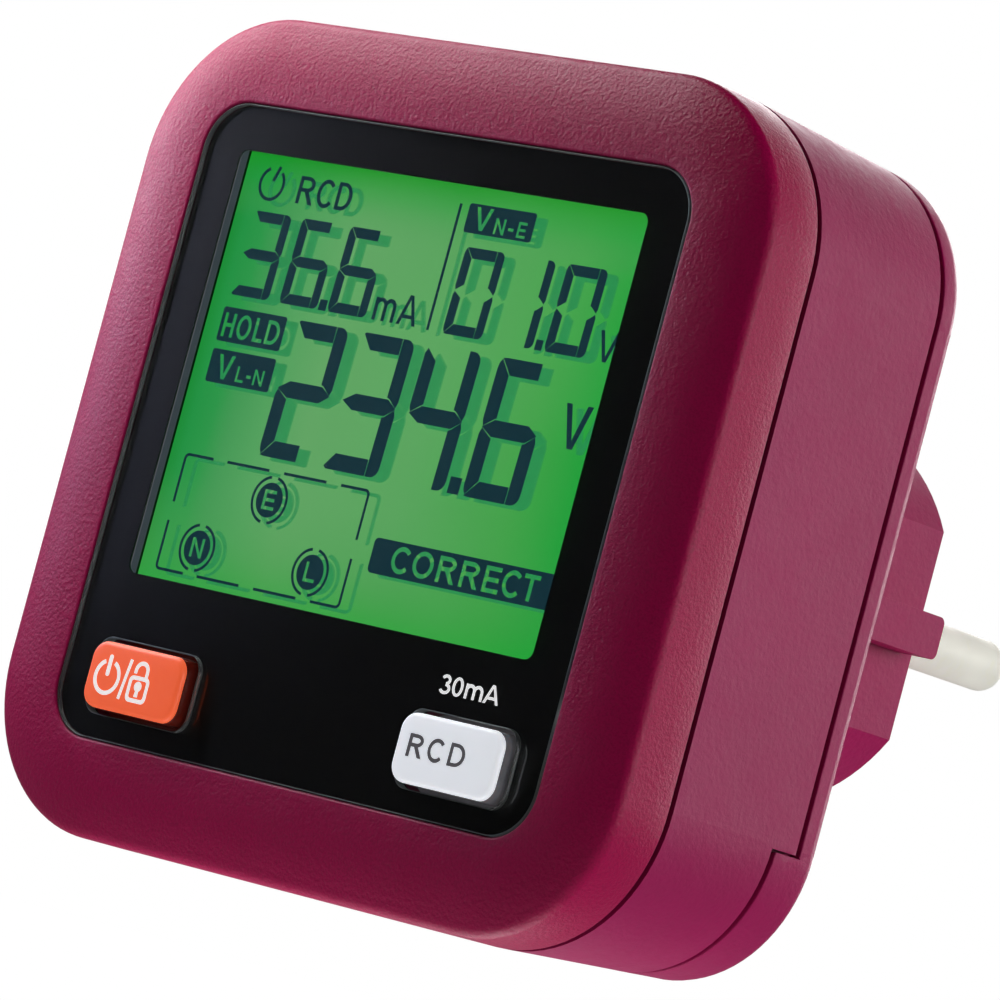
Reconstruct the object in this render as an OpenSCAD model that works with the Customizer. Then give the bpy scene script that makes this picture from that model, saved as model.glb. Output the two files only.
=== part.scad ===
// Plug-in outlet tester: a square hand-sized case with a display and two keys on the
// front and a round two-pin earthed plug on the back.
//
// Millimetres. +X is to the right seen from the display side, +Z is up, and +Y runs into
// the wall, the way the pins point. The origin is the centre of the plug's end face.
// Depths are counted from the front face of the display surround; place() turns them into Y.

/* [Case] */
// Width of the case at the front seam
body_w = 73.4; // [72.6:0.1:75]
// Height of the case at the front seam
body_h = 73.8; // [73.0:0.1:75.4]
// Radius of the four case corners
corner_r = 14.2; // [13.6:0.1:14.8]
// Height of the case centre above the pin axis
body_z = 0.2; // [0:0.1:0.5]
// Narrowing of each side per millimetre of depth behind the front seam
draft = 0.05; // [0:0.01:0.06]
// Depth of the front bezel up to the first seam
front_depth = 7.25; // [7.15:0.05:7.3]
// Width of the first seam
seam1_gap = 0.5; // [0.3:0.1:0.5]
// Depth at which the middle housing ends at the second seam
mid_end = 25.45; // [25.3:0.05:25.6]
// Width of the second seam
seam2_gap = 0.7; // [0.4:0.1:0.7]
// Depth of the back face of the case
back_depth = 28.9; // [28.9:0.1:29.6]
// How much further forward the battery cover reaches below the step
skirt_depth = 3.4; // [2.8:0.1:3.6]
// Height of the step in the second seam
step_z = -22.9; // [-23.2:0.1:-22.7]
// Wall thickness of the case
wall = 2.2; // [2.1:0.05:2.2]

/* [Display] */
// Width of the clear front lens
lens_w = 56.9; // [56.5:0.1:57.2]
// Height of the clear front lens
lens_h = 57.0; // [56.6:0.1:57.3]
// Radius of the lens corners
lens_r = 4.4; // [4:0.1:5]
// Height of the lens centre above the pin axis
lens_z = 0.35; // [0.3:0.05:0.4]
// Width of the display window in the black print
window_w = 48.1; // [46:0.1:48.4]
// Height of the display window in the black print
window_h = 38.2; // [36:0.1:38.4]
// Sideways offset of the display window
window_x = -0.3; // [-0.4:0.05:-0.2]
// Height of the window centre above the pin axis
window_z = 5.75; // [5.65:0.05:5.85]

/* [Keys] */
// Width of a key
key_w = 11.6; // [11.3:0.1:11.8]
// Height of a key
key_h = 6; // [5.8:0.1:6.2]
// Radius of the key corners
key_r = 1.2; // [1:0.1:1.5]
// How far a key stands out of the lens
key_proud = 1.3; // [1:0.05:1.7]
// Sideways position of the power key
power_x = -18.5; // [-18.7:0.1:-18.3]
// Sideways position of the trip test key
rcd_x = 18.9; // [18.7:0.1:19.1]
// Height of the keys relative to the pin axis
key_z = -22.6; // [-22.7:0.1:-22.5]

/* [Plug] */
// Distance between the pin centres
pin_pitch = 19; // [18.9:0.1:19.1]
// Diameter of a pin
pin_d = 4.8; // [4.7:0.05:4.8]
// Length of a pin outside the plug face
pin_len = 19; // [18:0.5:19]
// Length of the plug body that goes into the socket
plug_len = 17.7; // [17.5:0.1:18]
// Length of the boss between the case and the plug body
neck_len = 12.6; // [12.6:0.1:12.8]
// Radius of the boss, whose end rests on the socket
neck_r = 21.4; // [21:0.1:21.6]
// Radius of the plug body
plug_r = 18.1; // [18:0.05:18.2]
// Half width across the two flats of the plug body
plug_flat = 15.33; // [15.3:0.01:15.4]
// Half width over the two guide ribs
rib_x = 18.93; // [18.8:0.01:19]
// Height of a guide rib
rib_w = 3.88; // [3.6:0.02:4]
// Corner radius at the end of a guide rib
rib_r = 0.7; // [0.5:0.1:0.9]

/* [Hidden] */
$fn = 48;

// case and plug stations
mid_start = front_depth + seam1_gap;
seam2_start = mid_end + seam2_gap;
neck_end = back_depth + neck_len;
face_depth = neck_end + plug_len;
corner_x = body_w / 2 - corner_r;
corner_z = body_h / 2 - corner_r;
pin_x = pin_pitch / 2;

// lens, film and bezel floor
lens_front = 0.05;
lens_thick = 1.0;
film_thick = 0.15;
floor_front = lens_front + lens_thick + film_thick;
floor_back = 2.9;

// display stack: heights of the glass, light guide and frame
lcd_z = 4.7;
guide_z = lcd_z + 1.2;
frame_z = lcd_z + 0.1;
glass_front = 2.15;
glass_thick = 0.7;
glass_back = glass_front + 2 * glass_thick;
polarizer_thick = 0.2;

// boards, their screws and the snap legs of the display frame
pcb_front = 7.0;
pcb_back = 8.6;
power_front = 16.6;
power_back = power_front + 1.6;
screw_x = 28.5;
screw_z = 28.6;
screw_seat = 20.6;
post_x = 31.4;
post_z = 12;
snap_x = 22;
snap_z = 21.95;

// battery bays and cells
bay_x_min = 21.9;
bay_x_max = 33.3;
bay_z_min = -24.4;
bay_z_max = 25.4;
bay_front = 15.0;
bay_mid_z = (bay_z_min + bay_z_max) / 2;
bay_half = (bay_z_max - bay_z_min) / 2;
cell_r = 5.25;
cell_x = (bay_x_min + bay_x_max) / 2;
cell_depth = bay_front + 0.15 + cell_r;
contact_front = bay_front + 0.3;
lead_x = 26.4;
lead_z = bay_z_min + 1.2;

// cover fixings
cover_screw_z = -28.6;
cover_screw_seat = back_depth - 1.3;
tab_x = 12;
tab_z = 33.1;

// ---- helpers; cutters run past the faces they open ----

// moves to sideways x, depth behind the front face, height z
module place(x, depth, z) translate([x, depth - face_depth, z]) children();

// four mirrored places around a centre
module four_spots(x, depth, z, mid_x = 0, mid_z = 0)
  for (side = [-1, 1], level = [-1, 1])
    place(mid_x + side * x, depth, mid_z + level * z) children();

// cylinder along +Y
module rod(radius, length) rotate([-90, 0, 0]) cylinder(r = radius, h = length);

// block of [width, depth, height], centred in X and Z, running along +Y
module block(size) translate([-size[0] / 2, 0, -size[2] / 2]) cube(size);

// round-cornered plate of [width, height] along +Y; grow widens every side and the radius
module plate(size, radius, thickness, grow = 0) {
  width = size[0] + 2 * grow;
  height = size[1] + 2 * grow;
  round = radius + grow;
  translate([0, thickness, 0]) rotate([90, 0, 0]) linear_extrude(thickness) {
    square([width - 2 * round, height], center = true);
    square([width, height - 2 * round], center = true);
    for (side = [-1, 1], level = [-1, 1])
      translate([side * (width / 2 - round), level * (height / 2 - round)]) circle(r = round);
  }
}

// outer corner radius of the case at a depth
function outer_radius(depth) = corner_r - draft * max(0, depth - front_depth);

// layers of the case through stations of [depth, inset from the outside]
module shell_stack(stations) for (i = [0 : len(stations) - 2]) {
  front = stations[i][0];
  length = stations[i + 1][0] - front;
  front_r = outer_radius(front) - stations[i][1];
  back_r = outer_radius(stations[i + 1][0]) - stations[i + 1][1];
  place(0, front, body_z) {
    for (side = [-1, 1], level = [-1, 1])
      translate([side * corner_x, 0, level * corner_z])
        rotate([-90, 0, 0]) cylinder(r1 = front_r, r2 = back_r, h = length);
    translate([0, 0, -corner_z]) linear_extrude(2 * corner_z)
      polygon([[-corner_x - front_r, 0], [corner_x + front_r, 0],
        [corner_x + back_r, length], [-corner_x - back_r, length]]);
    translate([-corner_x, 0, 0]) rotate([90, 0, 90]) linear_extrude(2 * corner_x)
      polygon([[0, -corner_z - front_r], [0, corner_z + front_r],
        [length, corner_z + back_r], [length, -corner_z - back_r]]);
  }
}

// one layer of the case with an even inset
module shell(front, back, inset = 0) shell_stack([[front, inset], [back, inset]]);

// everything below a height between two depths
module below(z, front, back)
  place(0, front, 0) translate([-60, 0, -80]) cube([120, back - front, z + 80]);

module key_spots(depth) for (x = [power_x, rcd_x]) place(x, depth, key_z) children();
module case_screw_spots(depth) four_spots(screw_x, depth, screw_z, 0, body_z) children();
module post_spots(depth) four_spots(post_x, depth, post_z) children();
module snap_spots(depth, z = snap_z)
  four_spots(snap_x, depth, z, window_x, frame_z) children();
// posts of the power board, as [x, z]
module stand_spots(depth)
  for (side = [-1, 1], spot = [[14, 25], [15.5, -20.5]])
    place(side * spot[0], depth, spot[1]) children();

// screw head with a cross slot
module cross_head(radius, height, slot_length, slot_width, slot_depth) difference() {
  rod(radius, height);
  translate([0, height - slot_depth, 0]) {
    block([slot_length, 1, slot_width]);
    block([slot_width, 1, slot_length]);
  }
}

// screw with its head towards +Y
module small_screw(shank_r, head_r, head_h, length) {
  cross_head(head_r, head_h, slot_length = head_r * 1.2, slot_width = 0.5, slot_depth = 0.5);
  translate([0, -length, 0]) rod(shank_r, length + 0.2);
}

// ---- front ----

lens_size = [lens_w, lens_h];
lens_gap = 0.1; // around the lens in its seat
film_inset = 0.15;
lip_inset = 1.2;
boss_start = floor_back - 0.4;
front_hole_start = 3.6;

// opening around each key; gap is added to the whole width and height
module key_openings(depth, gap, extra_r, length)
  key_spots(depth) plate([key_w + gap, key_h + gap], key_r + extra_r, length);

module lens_key_openings() key_openings(-1, gap = 0.76, extra_r = 0.3, length = 4);

module front_bezel() color("#8a2c55") {
  difference() {
    shell_stack([[0, 4.8], [0.35, 2.9], [1.2, 0.55], [1.7, 0], [front_depth, 0]]);
    // seat of the lens and the openings behind it
    place(0, -0.5, lens_z) plate(lens_size, lens_r, floor_front + 0.5, grow = lens_gap);
    place(window_x, 1, lcd_z) plate([52.6, 42.6], 0.8, 3);
    key_openings(1, gap = 0.9, extra_r = 0.4, length = 3);
    shell(floor_back, front_depth + 0.1, wall);
  }
  // lip that closes the first seam
  difference() {
    shell(front_depth - 0.6, mid_start + 0.8, lip_inset);
    shell(front_depth - 0.7, mid_start + 0.9, wall);
  }
  // bosses for the case screws and posts for the main board
  difference() {
    union() {
      case_screw_spots(boss_start) rod(2.9, mid_start - floor_back + 0.3);
      post_spots(boss_start) rod(2.2, pcb_front - boss_start);
    }
    case_screw_spots(front_hole_start) rod(1.5, 10);
    post_spots(front_hole_start) rod(0.95, 10);
  }
}

module display_lens() color("#c8d0d4", 0.35) difference() {
  place(0, lens_front, lens_z) plate(lens_size, lens_r, lens_thick);
  lens_key_openings();
}

module lens_mask_film() color("#0a0a0b") difference() {
  place(0, lens_front + lens_thick, lens_z)
    plate(lens_size, lens_r, film_thick, grow = -film_inset);
  place(window_x, 0, window_z) plate([window_w, window_h], 0.8, 4);
  lens_key_openings();
}

// two panes, the back one shorter
module lcd_glass() color("#9fc7a0", 0.5) {
  place(window_x, glass_front, lcd_z) block([52, glass_thick, 42]);
  place(window_x, glass_front + glass_thick, lcd_z + 1.25) block([52, glass_thick, 39.5]);
}

module lcd_polarizers() color("#6fae6a", 0.6) {
  place(window_x, glass_front - polarizer_thick, guide_z) block([50.4, polarizer_thick, 39.2]);
  place(window_x, glass_back, lcd_z + 1.3) block([50.4, polarizer_thick, 38.6]);
}

guide_thick = 2.4;

module lcd_backlight() color("#7be06a") {
  place(window_x, glass_back + polarizer_thick, guide_z) block([51.2, guide_thick, 39.6]);
  // pegs that stand the light guide on the board
  four_spots(20, glass_back + guide_thick, 15, window_x, guide_z)
    rod(1, pcb_front - glass_back - guide_thick);
}

led_front = 4.2;
led_pitch = 12;

module backlight_leds() color("#f4f2dc")
  for (k = [-1 : 1])
    place(window_x + 25.85, led_front, guide_z + led_pitch * k)
      block([0.4, pcb_front - led_front, 3]);

module lcd_frame() color("#26282c") {
  difference() {
    place(window_x, floor_back, frame_z) plate([56, 45.4], 1.2, pcb_front - floor_back);
    place(window_x, floor_back - 1, frame_z) plate([52.3, 42.4], 0.5, 9);
    case_screw_spots(floor_back - 1) rod(3.1, 9);
  }
  // snap legs through the board and their hooks
  snap_spots(pcb_front - 0.5) block([2.6, pcb_back - pcb_front + 0.6, 1.2]);
  snap_spots(pcb_back + 0.1, snap_z + 0.25) block([2.6, 0.9, 1.7]);
}

module zebra_strip() color("#d98a9a")
  place(window_x, glass_front + glass_thick, lcd_z - 19.9)
    block([48, pcb_front - glass_front - glass_thick, 1.5]);

// ---- keys ----

dome_size = [14.2, 8.6];
dome_r = 1.8;
dome_wall = 0.5;
key_back = 5.4;
mat_front = 6.2;

module key_body() {
  place(0, lens_front - key_proud, 0)
    plate([key_w, key_h], key_r, key_back + key_proud - lens_front);
  // flange behind the lens
  place(0, 3.0, 0) plate(dome_size, dome_r, 0.8);
}
module power_key() color("#ee5a2a") translate([power_x, 0, key_z]) key_body();
module rcd_key() color("#dfe3e8") translate([rcd_x, 0, key_z]) key_body();

module pill() place(0, key_back, 0) rod(2, 0.55);
module power_pill() color("#1b1b1d") translate([power_x, 0, key_z]) pill();
module rcd_pill() color("#1b1b1d") translate([rcd_x, 0, key_z]) pill();

module dome_hollow() plate(dome_size, dome_r, 4, grow = -dome_wall);
module dome() difference() {
  place(0, 3.8, 0) plate(dome_size, dome_r, 2.4);
  place(0, 3, 0) dome_hollow();
}
module power_dome() color("#c9b8b8", 0.8) translate([power_x, 0, key_z]) dome();
module rcd_dome() color("#c9c9c9", 0.8) translate([rcd_x, 0, key_z]) dome();

module keypad_mat() color("#c4c4c0") difference() {
  place(0.4, mat_front, key_z) plate([54, 8.8], 1.8, pcb_front - mat_front);
  key_spots(5) dome_hollow();
  case_screw_spots(5) rod(3.4, 4);
}

contact_thick = 0.06;

module key_contacts() color("#c9a24a")
  key_spots(pcb_front - contact_thick) rod(2.6, contact_thick);

// ---- main board ----

module main_pcb() color("#1f6b3a") difference() {
  place(0, pcb_front, body_z)
    plate([body_w, body_h], corner_r, pcb_back - pcb_front, grow = -2.5);
  // corners cut away around the case screws
  case_screw_spots(pcb_front - 1) rod(3.5, 5);
  four_spots(screw_x + 5, pcb_front - 1, screw_z + 2, 0, body_z) block([10, 5, 11]);
  post_spots(pcb_front - 1) rod(1.25, 5);
  snap_spots(pcb_front - 1) block([3, 5, 1.8]);
}

mcu_w = 12;
mcu_x = -6;
chip_thick = 1.5;
chip_lift = 0.1;

// two rows of flat legs, left and right of a chip
module chip_legs(chip_w, count, row_length)
  for (side = [-1, 1], k = [0 : count - 1])
    translate([side * (chip_w / 2 + 0.4), 0, -row_length / 2 + (k + 0.5) * row_length / count])
      block([1.0, 0.35, 0.5]);

module mcu_chip() color("#1c1d20") place(mcu_x, pcb_back, 6) {
  difference() {
    translate([0, chip_lift, 0]) block([mcu_w, chip_thick, mcu_w]);
    // round corner mark
    translate([-4.6, 1.45, 4.6]) rod(0.6, 1);
  }
  for (turn = [0, 90]) rotate([0, turn, 0]) chip_legs(mcu_w, 10, 11);
}

// chips as [z, height, legs per side]
module signal_chips() color("#1c1d20")
  for (chip = [[14, 9.8, 8], [-4, 5, 4]]) place(10.5, pcb_back, chip[0]) {
    translate([0, chip_lift, 0]) block([4, chip_thick, chip[1]]);
    chip_legs(4, chip[2], chip[1]);
  }

module crystal() color("#c9ccd0") place(mcu_x, pcb_back, 17.5) {
  block([11, 0.6, 4.6]);
  translate([0, 0.6, 0]) plate([10, 3.8], 1.8, 2.9);
}

header_pitch = 2.54;
header_pins = 8;
header_w = 2.5;
header_h = 20;
header_back_thick = 1.6;
board_gap = power_front - pcb_back;

// pin rows between the two boards
module board_header() color("#202124")
  for (side = [-1, 1]) place(side * 16, pcb_back, 4) {
    block([header_w, header_w, header_h]);
    translate([0, board_gap - header_back_thick, 0])
      block([header_w, header_back_thick, header_h]);
    for (k = [0 : header_pins - 1])
      translate([0, 2.4, (k - (header_pins - 1) / 2) * header_pitch])
        block([0.64, board_gap - 3.9, 0.64]);
  }

module pcb_screws() color("#b9bcc0")
  post_spots(pcb_back) small_screw(shank_r = 0.9, head_r = 1.9, head_h = 1.2, length = 4.6);

// ---- power board ----

power_z = 3.5;
wire_r = 0.9;
resistor_pitch = 5.2;
resistor_length = 13;
resistor_wire_r = 0.35;
relay_z = 9.6;
varistor_lift = 5.6;
varistor_thick = 3.8;
fuse_z = -7.4;

module power_pcb() color("#2c7a44") difference() {
  place(0, power_front, power_z) block([37.8, power_back - power_front, 53]);
  stand_spots(power_front - 1) rod(1.35, 5);
  for (x = [-pin_x, 0, pin_x]) place(x, power_front - 1, 0) rod(1, 5);
}

// lying resistors with bent leads into the board
module load_resistors() color("#7fa9c4")
  for (k = [0 : 2]) place(0, power_front - 2.6, -8.2 - k * resistor_pitch) {
    translate([-resistor_length / 2, 0, 0])
      rotate([0, 90, 0]) cylinder(r = 1.9, h = resistor_length);
    for (side = [-1, 1]) {
      translate([side * 7.6, 0, 0])
        rotate([0, 90, 0]) cylinder(r = resistor_wire_r, h = 2.4, center = true);
      translate([side * 8.7, -0.3, 0]) rod(resistor_wire_r, 2.9);
    }
  }

module relay() color("#e7e3d2") {
  place(0, power_back + 0.4, relay_z) block([14.6, 10.8, 8.4]);
  four_spots(6, power_back, 3, 0, relay_z) block([0.8, 0.6, 0.8]);
}

module fuse() color("#3b3f46") place(-4.4, power_back, fuse_z) block([8.2, 8, 4.2]);

module varistor() color("#2f5fa0") place(5.6, power_back + varistor_lift, fuse_z) {
  translate([0, 0, -varistor_thick / 2]) cylinder(r = 4.4, h = varistor_thick);
  for (side = [-1, 1]) translate([side * 2.5, -varistor_lift, 0]) rod(0.4, 3);
}

module film_capacitor() color("#d7b13a") place(0, power_back, -13.4) block([12, 8.6, 4.4]);

// heads on the front of the board
module power_pcb_screws() color("#b9bcc0")
  stand_spots(power_front) mirror([0, 1, 0])
    small_screw(shank_r = 1.05, head_r = 2.1, head_h = 1.3, length = 5.2);

// ---- middle housing with boss and plug body ----

rib_start = neck_end - 1; // sunk into the boss
tongue_inset = 1.15;
earth_front = neck_end + 1.75;
earth_slot_front = neck_end + 1.7;

// round section with two flats
module plug_section(radius, flat, depth, thickness) intersection() {
  place(0, depth, 0) rod(radius, thickness);
  place(0, depth, 0) block([2 * flat, thickness, 3 * radius]);
}

// hollow posts behind the power board
module stand_posts() stand_spots(power_back) difference() {
  rod(2.4, 24 - power_back);
  translate([0, -1, 0]) rod(1.1, 5.4);
}

// guide rib with round end corners, its left side at x
module guide_rib(x) {
  length = face_depth - 1.1 - rib_start;
  place(x, rib_start, 0) rotate([90, 0, 90]) linear_extrude(rib_x - plug_flat + 1) {
    translate([0, -rib_w / 2]) square([length - rib_r, rib_w]);
    translate([0, rib_r - rib_w / 2]) square([length, rib_w - 2 * rib_r]);
    for (level = [-1, 1])
      translate([length - rib_r, level * (rib_w / 2 - rib_r)]) circle(r = rib_r);
  }
}

module housing_body() {
  // outer case, cut back below the step
  difference() {
    shell(mid_start, mid_end);
    below(step_z, mid_end - skirt_depth, mid_end + 1);
  }
  // tongue that closes the second seam
  shell(mid_end - 6, mid_end + 1.05, tongue_inset);
  place(0, 20, 0) rod(neck_r, neck_end - 20);
  plug_section(plug_r, plug_flat, neck_end - 1, plug_len + 1);
  guide_rib(plug_flat - 1);
  guide_rib(-rib_x);
}

module housing_shell() difference() {
  housing_body();
  // seat of the bezel lip and the front space, leaving the screw bosses
  shell(mid_start - 1, mid_start + 1.1, tongue_inset);
  difference() {
    shell(mid_start - 1, 13.4, wall);
    case_screw_spots(mid_start) rod(3.4, 8);
  }
  case_screw_spots(mid_start - 1) rod(1.6, 40);
  case_screw_spots(screw_seat) rod(2.9, 20);
  // middle space for the power board
  place(0, 13.3, power_z) block([38.8, 10.1, 54]);
  // open battery bays and passages for the battery leads
  for (side = [-1, 1]) {
    place(side * cell_x, bay_front, bay_mid_z) block([bay_x_max - bay_x_min, 20, 2 * bay_half]);
    place(side * lead_x, 12, lead_z) rod(0.8, 5);
  }
  // hollow boss and hollow plug
  place(0, 13, 0) rod(18.6, neck_end - 2.2 - 13);
  plug_section(14.0, 13.2, neck_end - 3, plug_len + 0.5);
  for (side = [-1, 1]) {
    // pin hole
    place(side * pin_x, face_depth - 3, 0) rod(pin_d / 2 + 0.25, 4);
    // recess and slot for the earth strip
    place(0, earth_slot_front, side * 17.8) block([8.6, plug_len, 5]);
    place(0, earth_slot_front, side * 14) block([8.4, 1.0, 6]);
    // slot for a cover tab
    place(side * tab_x, 19.5, tab_z) block([6.4, 10, 1.4]);
  }
  // pocket for the cover screw insert
  place(0, 17.2, cover_screw_z) rod(2.1, 20);
}

module mid_housing() color("#83264d") {
  housing_shell();
  stand_posts();
}

module housing_screws() color("#9fa3a8")
  case_screw_spots(screw_seat)
    small_screw(shank_r = 1.45, head_r = 2.7, head_h = 1.8, length = 15.8);

// ---- batteries ----

cell_shift = 1.4; // towards the positive contact
spring_turns = 4;
spring_r = 3.4;
spring_taper = 0.3; // radius lost per turn
spring_wire_r = 0.3;
spring_pitch = 0.9;

// centres of the two bays, the right one upside down
module bay_centres() {
  place(-cell_x, cell_depth, bay_mid_z) children();
  place(cell_x, cell_depth, bay_mid_z) rotate([180, 0, 0]) children();
}

module battery_cells() color("#3c4a58") bay_centres() translate([0, 0, cell_shift]) {
  translate([0, 0, -22.25]) cylinder(r = cell_r, h = 43.5);
  translate([0, 0, 21.2]) cylinder(r = 1.9, h = 1.05);
}

// narrowing rings joined by short upright links
module spring() {
  for (k = [0 : spring_turns - 1])
    translate([0, 0, k * spring_pitch]) rotate_extrude()
      translate([spring_r - spring_taper * k, 0]) circle(r = spring_wire_r, $fn = 24);
  for (k = [0 : spring_turns - 2])
    translate([spring_r - spring_taper * (k + 0.5), 0, k * spring_pitch])
      cylinder(r = spring_wire_r * 0.8, h = spring_pitch, $fn = 24);
}
module battery_springs() color("#c8cbd0")
  bay_centres() translate([0, 0, 0.95 - bay_half]) spring();

module battery_contacts() color("#d2d5d9") {
  for (side = [-1, 1], z = [bay_z_min + 0.35, bay_z_max - 0.35])
    place(side * cell_x, contact_front, z) block([9.2, 9.4, 0.5]);
  // raised buttons that meet the positive ends
  bay_centres() translate([0, 0, bay_half - 1.2]) cylinder(r = 2.2, h = 0.7);
}

module battery_leads() color("#a02020")
  for (side = [-1, 1])
    place(side * lead_x, pcb_back, lead_z) rod(0.7, contact_front - pcb_back);

// ---- battery cover ----

cover_lip_inset = 1.0;
cover_lip_end = seam2_start + 0.55;
tab_start = 20.5;

module cover_body() {
  // back with a rolled edge and a seat for the housing tongue
  difference() {
    shell_stack([[seam2_start, 0], [back_depth - 1.3, 0], [back_depth - 0.8, 0.1],
      [back_depth - 0.4, 0.4], [back_depth - 0.1, 0.8], [back_depth, 1.3]]);
    shell(seam2_start - 0.5, cover_lip_end, cover_lip_inset);
  }
  // skirt below the step
  intersection() {
    difference() {
      shell(mid_end - skirt_depth + seam2_gap, seam2_start + 0.6);
      shell(mid_end - skirt_depth, cover_lip_end, cover_lip_inset);
    }
    below(step_z - 0.2, 15, 40);
  }
  // locating tabs
  for (side = [-1, 1])
    place(side * tab_x, tab_start, tab_z) block([6.0, seam2_start + 1 - tab_start, 1.1]);
}

module rear_cover() color("#83264d") difference() {
  cover_body();
  place(0, 10, 0) rod(neck_r + 0.5, 40);
  // counterbored hole for the cover screw
  place(0, 10, cover_screw_z) rod(1.65, 40);
  place(0, cover_screw_seat, cover_screw_z) rod(3.1, 5);
}

module cover_screw() color("#9fa3a8") place(0, cover_screw_seat, cover_screw_z) {
  cross_head(2.75, 1.1, slot_length = 3.2, slot_width = 0.7, slot_depth = 0.6);
  translate([0, -8.6, 0]) rod(1.45, 8.7);
}

module cover_insert() color("#c49a45") place(0, 18.4, cover_screw_z) difference() {
  rod(2.05, 5);
  translate([0, -1, 0]) rod(1.5, 8);
}

// ---- plug contacts ----

pin_r = pin_d / 2;
pin_tip_r = 1.6;
tag_start = -15.2;
strip_w = 8;
strip_thick = 0.8;

// half section of a pin, its axis along the second coordinate
module pin_profile() intersection() {
  union() {
    // outer part with a rounded tip
    square([pin_r, pin_len - pin_tip_r]);
    translate([pin_r - pin_tip_r, pin_len - pin_tip_r]) circle(r = pin_tip_r);
    translate([0, pin_len - 2]) square([pin_r - pin_tip_r, 2]);
    // collar in the end wall, shoulder behind it and shank
    translate([0, -3]) square([pin_r + 0.2, 3]);
    translate([0, -4]) square([3.4, 1.4]);
    translate([0, -12.4]) square([pin_r - 0.2, 10]);
  }
  // keeps the tip circle on one side of the axis
  translate([0, -20]) square([10, 60]);
}

module contact_pin() {
  rotate([-90, 0, 0]) rotate_extrude() pin_profile();
  // solder tag
  translate([0, tag_start, 0]) block([2.6, 3.4, 1.0]);
}
module left_pin() color("#d9d8cc") translate([-pin_x, 0, 0]) contact_pin();
module right_pin() color("#d9d8cc") translate([pin_x, 0, 0]) contact_pin();

module pin_holder() color("#d8d2c4") difference() {
  place(0, face_depth - 11.6, 0) plate([25.4, 11.2], 2, 7.5);
  for (side = [-1, 1]) place(side * pin_x, face_depth - 13, 0) rod(pin_r - 0.15, 12);
}

module earth_bracket() color("#cfd2d6") {
  for (level = [-1, 1]) {
    place(0, earth_front, level * 16) block([strip_w, plug_len - 2.6, strip_thick]);
    // lead-in bend at the mouth
    place(0, face_depth - 1.0, level * 15.75) block([strip_w, 0.6, 0.5]);
  }
  place(0, earth_front, 0) block([strip_w, strip_thick, 32.8]);
}

// wire from the power board back to a depth
module wire(x, end) place(x, power_front, 0) rod(wire_r, end - power_front);
module left_wire() color("#6a4326") wire(-pin_x, face_depth + tag_start);
module right_wire() color("#2f62b4") wire(pin_x, face_depth + tag_start);
module earth_wire() color("#7ba832") wire(0, earth_front);

front_bezel();
display_lens();
lens_mask_film();
lcd_glass();
lcd_polarizers();
lcd_backlight();
backlight_leds();
lcd_frame();
zebra_strip();
power_key();
rcd_key();
power_pill();
rcd_pill();
power_dome();
rcd_dome();
keypad_mat();
key_contacts();
main_pcb();
mcu_chip();
signal_chips();
crystal();
board_header();
pcb_screws();
power_pcb();
load_resistors();
relay();
fuse();
varistor();
film_capacitor();
power_pcb_screws();
mid_housing();
housing_screws();
battery_cells();
battery_springs();
battery_contacts();
battery_leads();
rear_cover();
cover_screw();
cover_insert();
left_pin();
right_pin();
pin_holder();
earth_bracket();
left_wire();
right_wire();
earth_wire();
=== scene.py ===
"""Plug-in tester: magenta case, lit display and two keys in front, plug pins behind.

Metres with +Z up. The display faces -Y and the pins point along +Y, into the wall. Left and
right are those of someone facing the display: right is +X. Most sizes are in millimetres,
with Y given as a depth that grows along +Y from the front face of the display surround.
"""
import math
from collections import namedtuple
import bpy
import bmesh
from mathutils import Matrix, Vector
from mathutils.geometry import delaunay_2d_cdt

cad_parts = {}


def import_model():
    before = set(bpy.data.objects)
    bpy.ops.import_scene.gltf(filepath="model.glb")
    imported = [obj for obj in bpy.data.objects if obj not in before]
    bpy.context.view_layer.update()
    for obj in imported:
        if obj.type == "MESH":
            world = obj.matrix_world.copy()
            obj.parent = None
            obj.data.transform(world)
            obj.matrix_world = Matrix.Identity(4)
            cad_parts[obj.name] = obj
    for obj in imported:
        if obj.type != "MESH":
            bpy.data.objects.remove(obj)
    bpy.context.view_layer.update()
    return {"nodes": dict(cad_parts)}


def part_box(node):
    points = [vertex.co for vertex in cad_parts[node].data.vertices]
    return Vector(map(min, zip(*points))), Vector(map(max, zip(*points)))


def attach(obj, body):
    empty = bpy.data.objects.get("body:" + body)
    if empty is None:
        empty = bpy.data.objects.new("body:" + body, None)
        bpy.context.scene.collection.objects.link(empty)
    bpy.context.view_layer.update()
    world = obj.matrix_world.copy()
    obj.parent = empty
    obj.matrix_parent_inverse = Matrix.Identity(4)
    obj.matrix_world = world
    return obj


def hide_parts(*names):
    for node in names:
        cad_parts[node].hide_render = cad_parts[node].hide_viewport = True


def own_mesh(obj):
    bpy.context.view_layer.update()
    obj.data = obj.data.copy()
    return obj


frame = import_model()

MM = 0.001
FRONT_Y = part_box("front_bezel")[0][1]    # depth zero, in metres
ORIGIN_DEPTH = -FRONT_Y / MM             # depth of the frame's Y = 0


def y_at(depth):
    return FRONT_Y + depth * MM


class Box(namedtuple("Box", "left front bottom right back top")):
    """Extent in millimetres; front and back are depths."""

    @property
    def width(self):
        return self.right - self.left

    @property
    def height(self):
        return self.top - self.bottom

    @property
    def centre(self):
        return (self.left + self.right) / 2, (self.bottom + self.top) / 2


def node_box(node):
    low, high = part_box(node)
    return Box(low[0] / MM, (low[1] - FRONT_Y) / MM, low[2] / MM,
               high[0] / MM, (high[1] - FRONT_Y) / MM, high[2] / MM)


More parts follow.
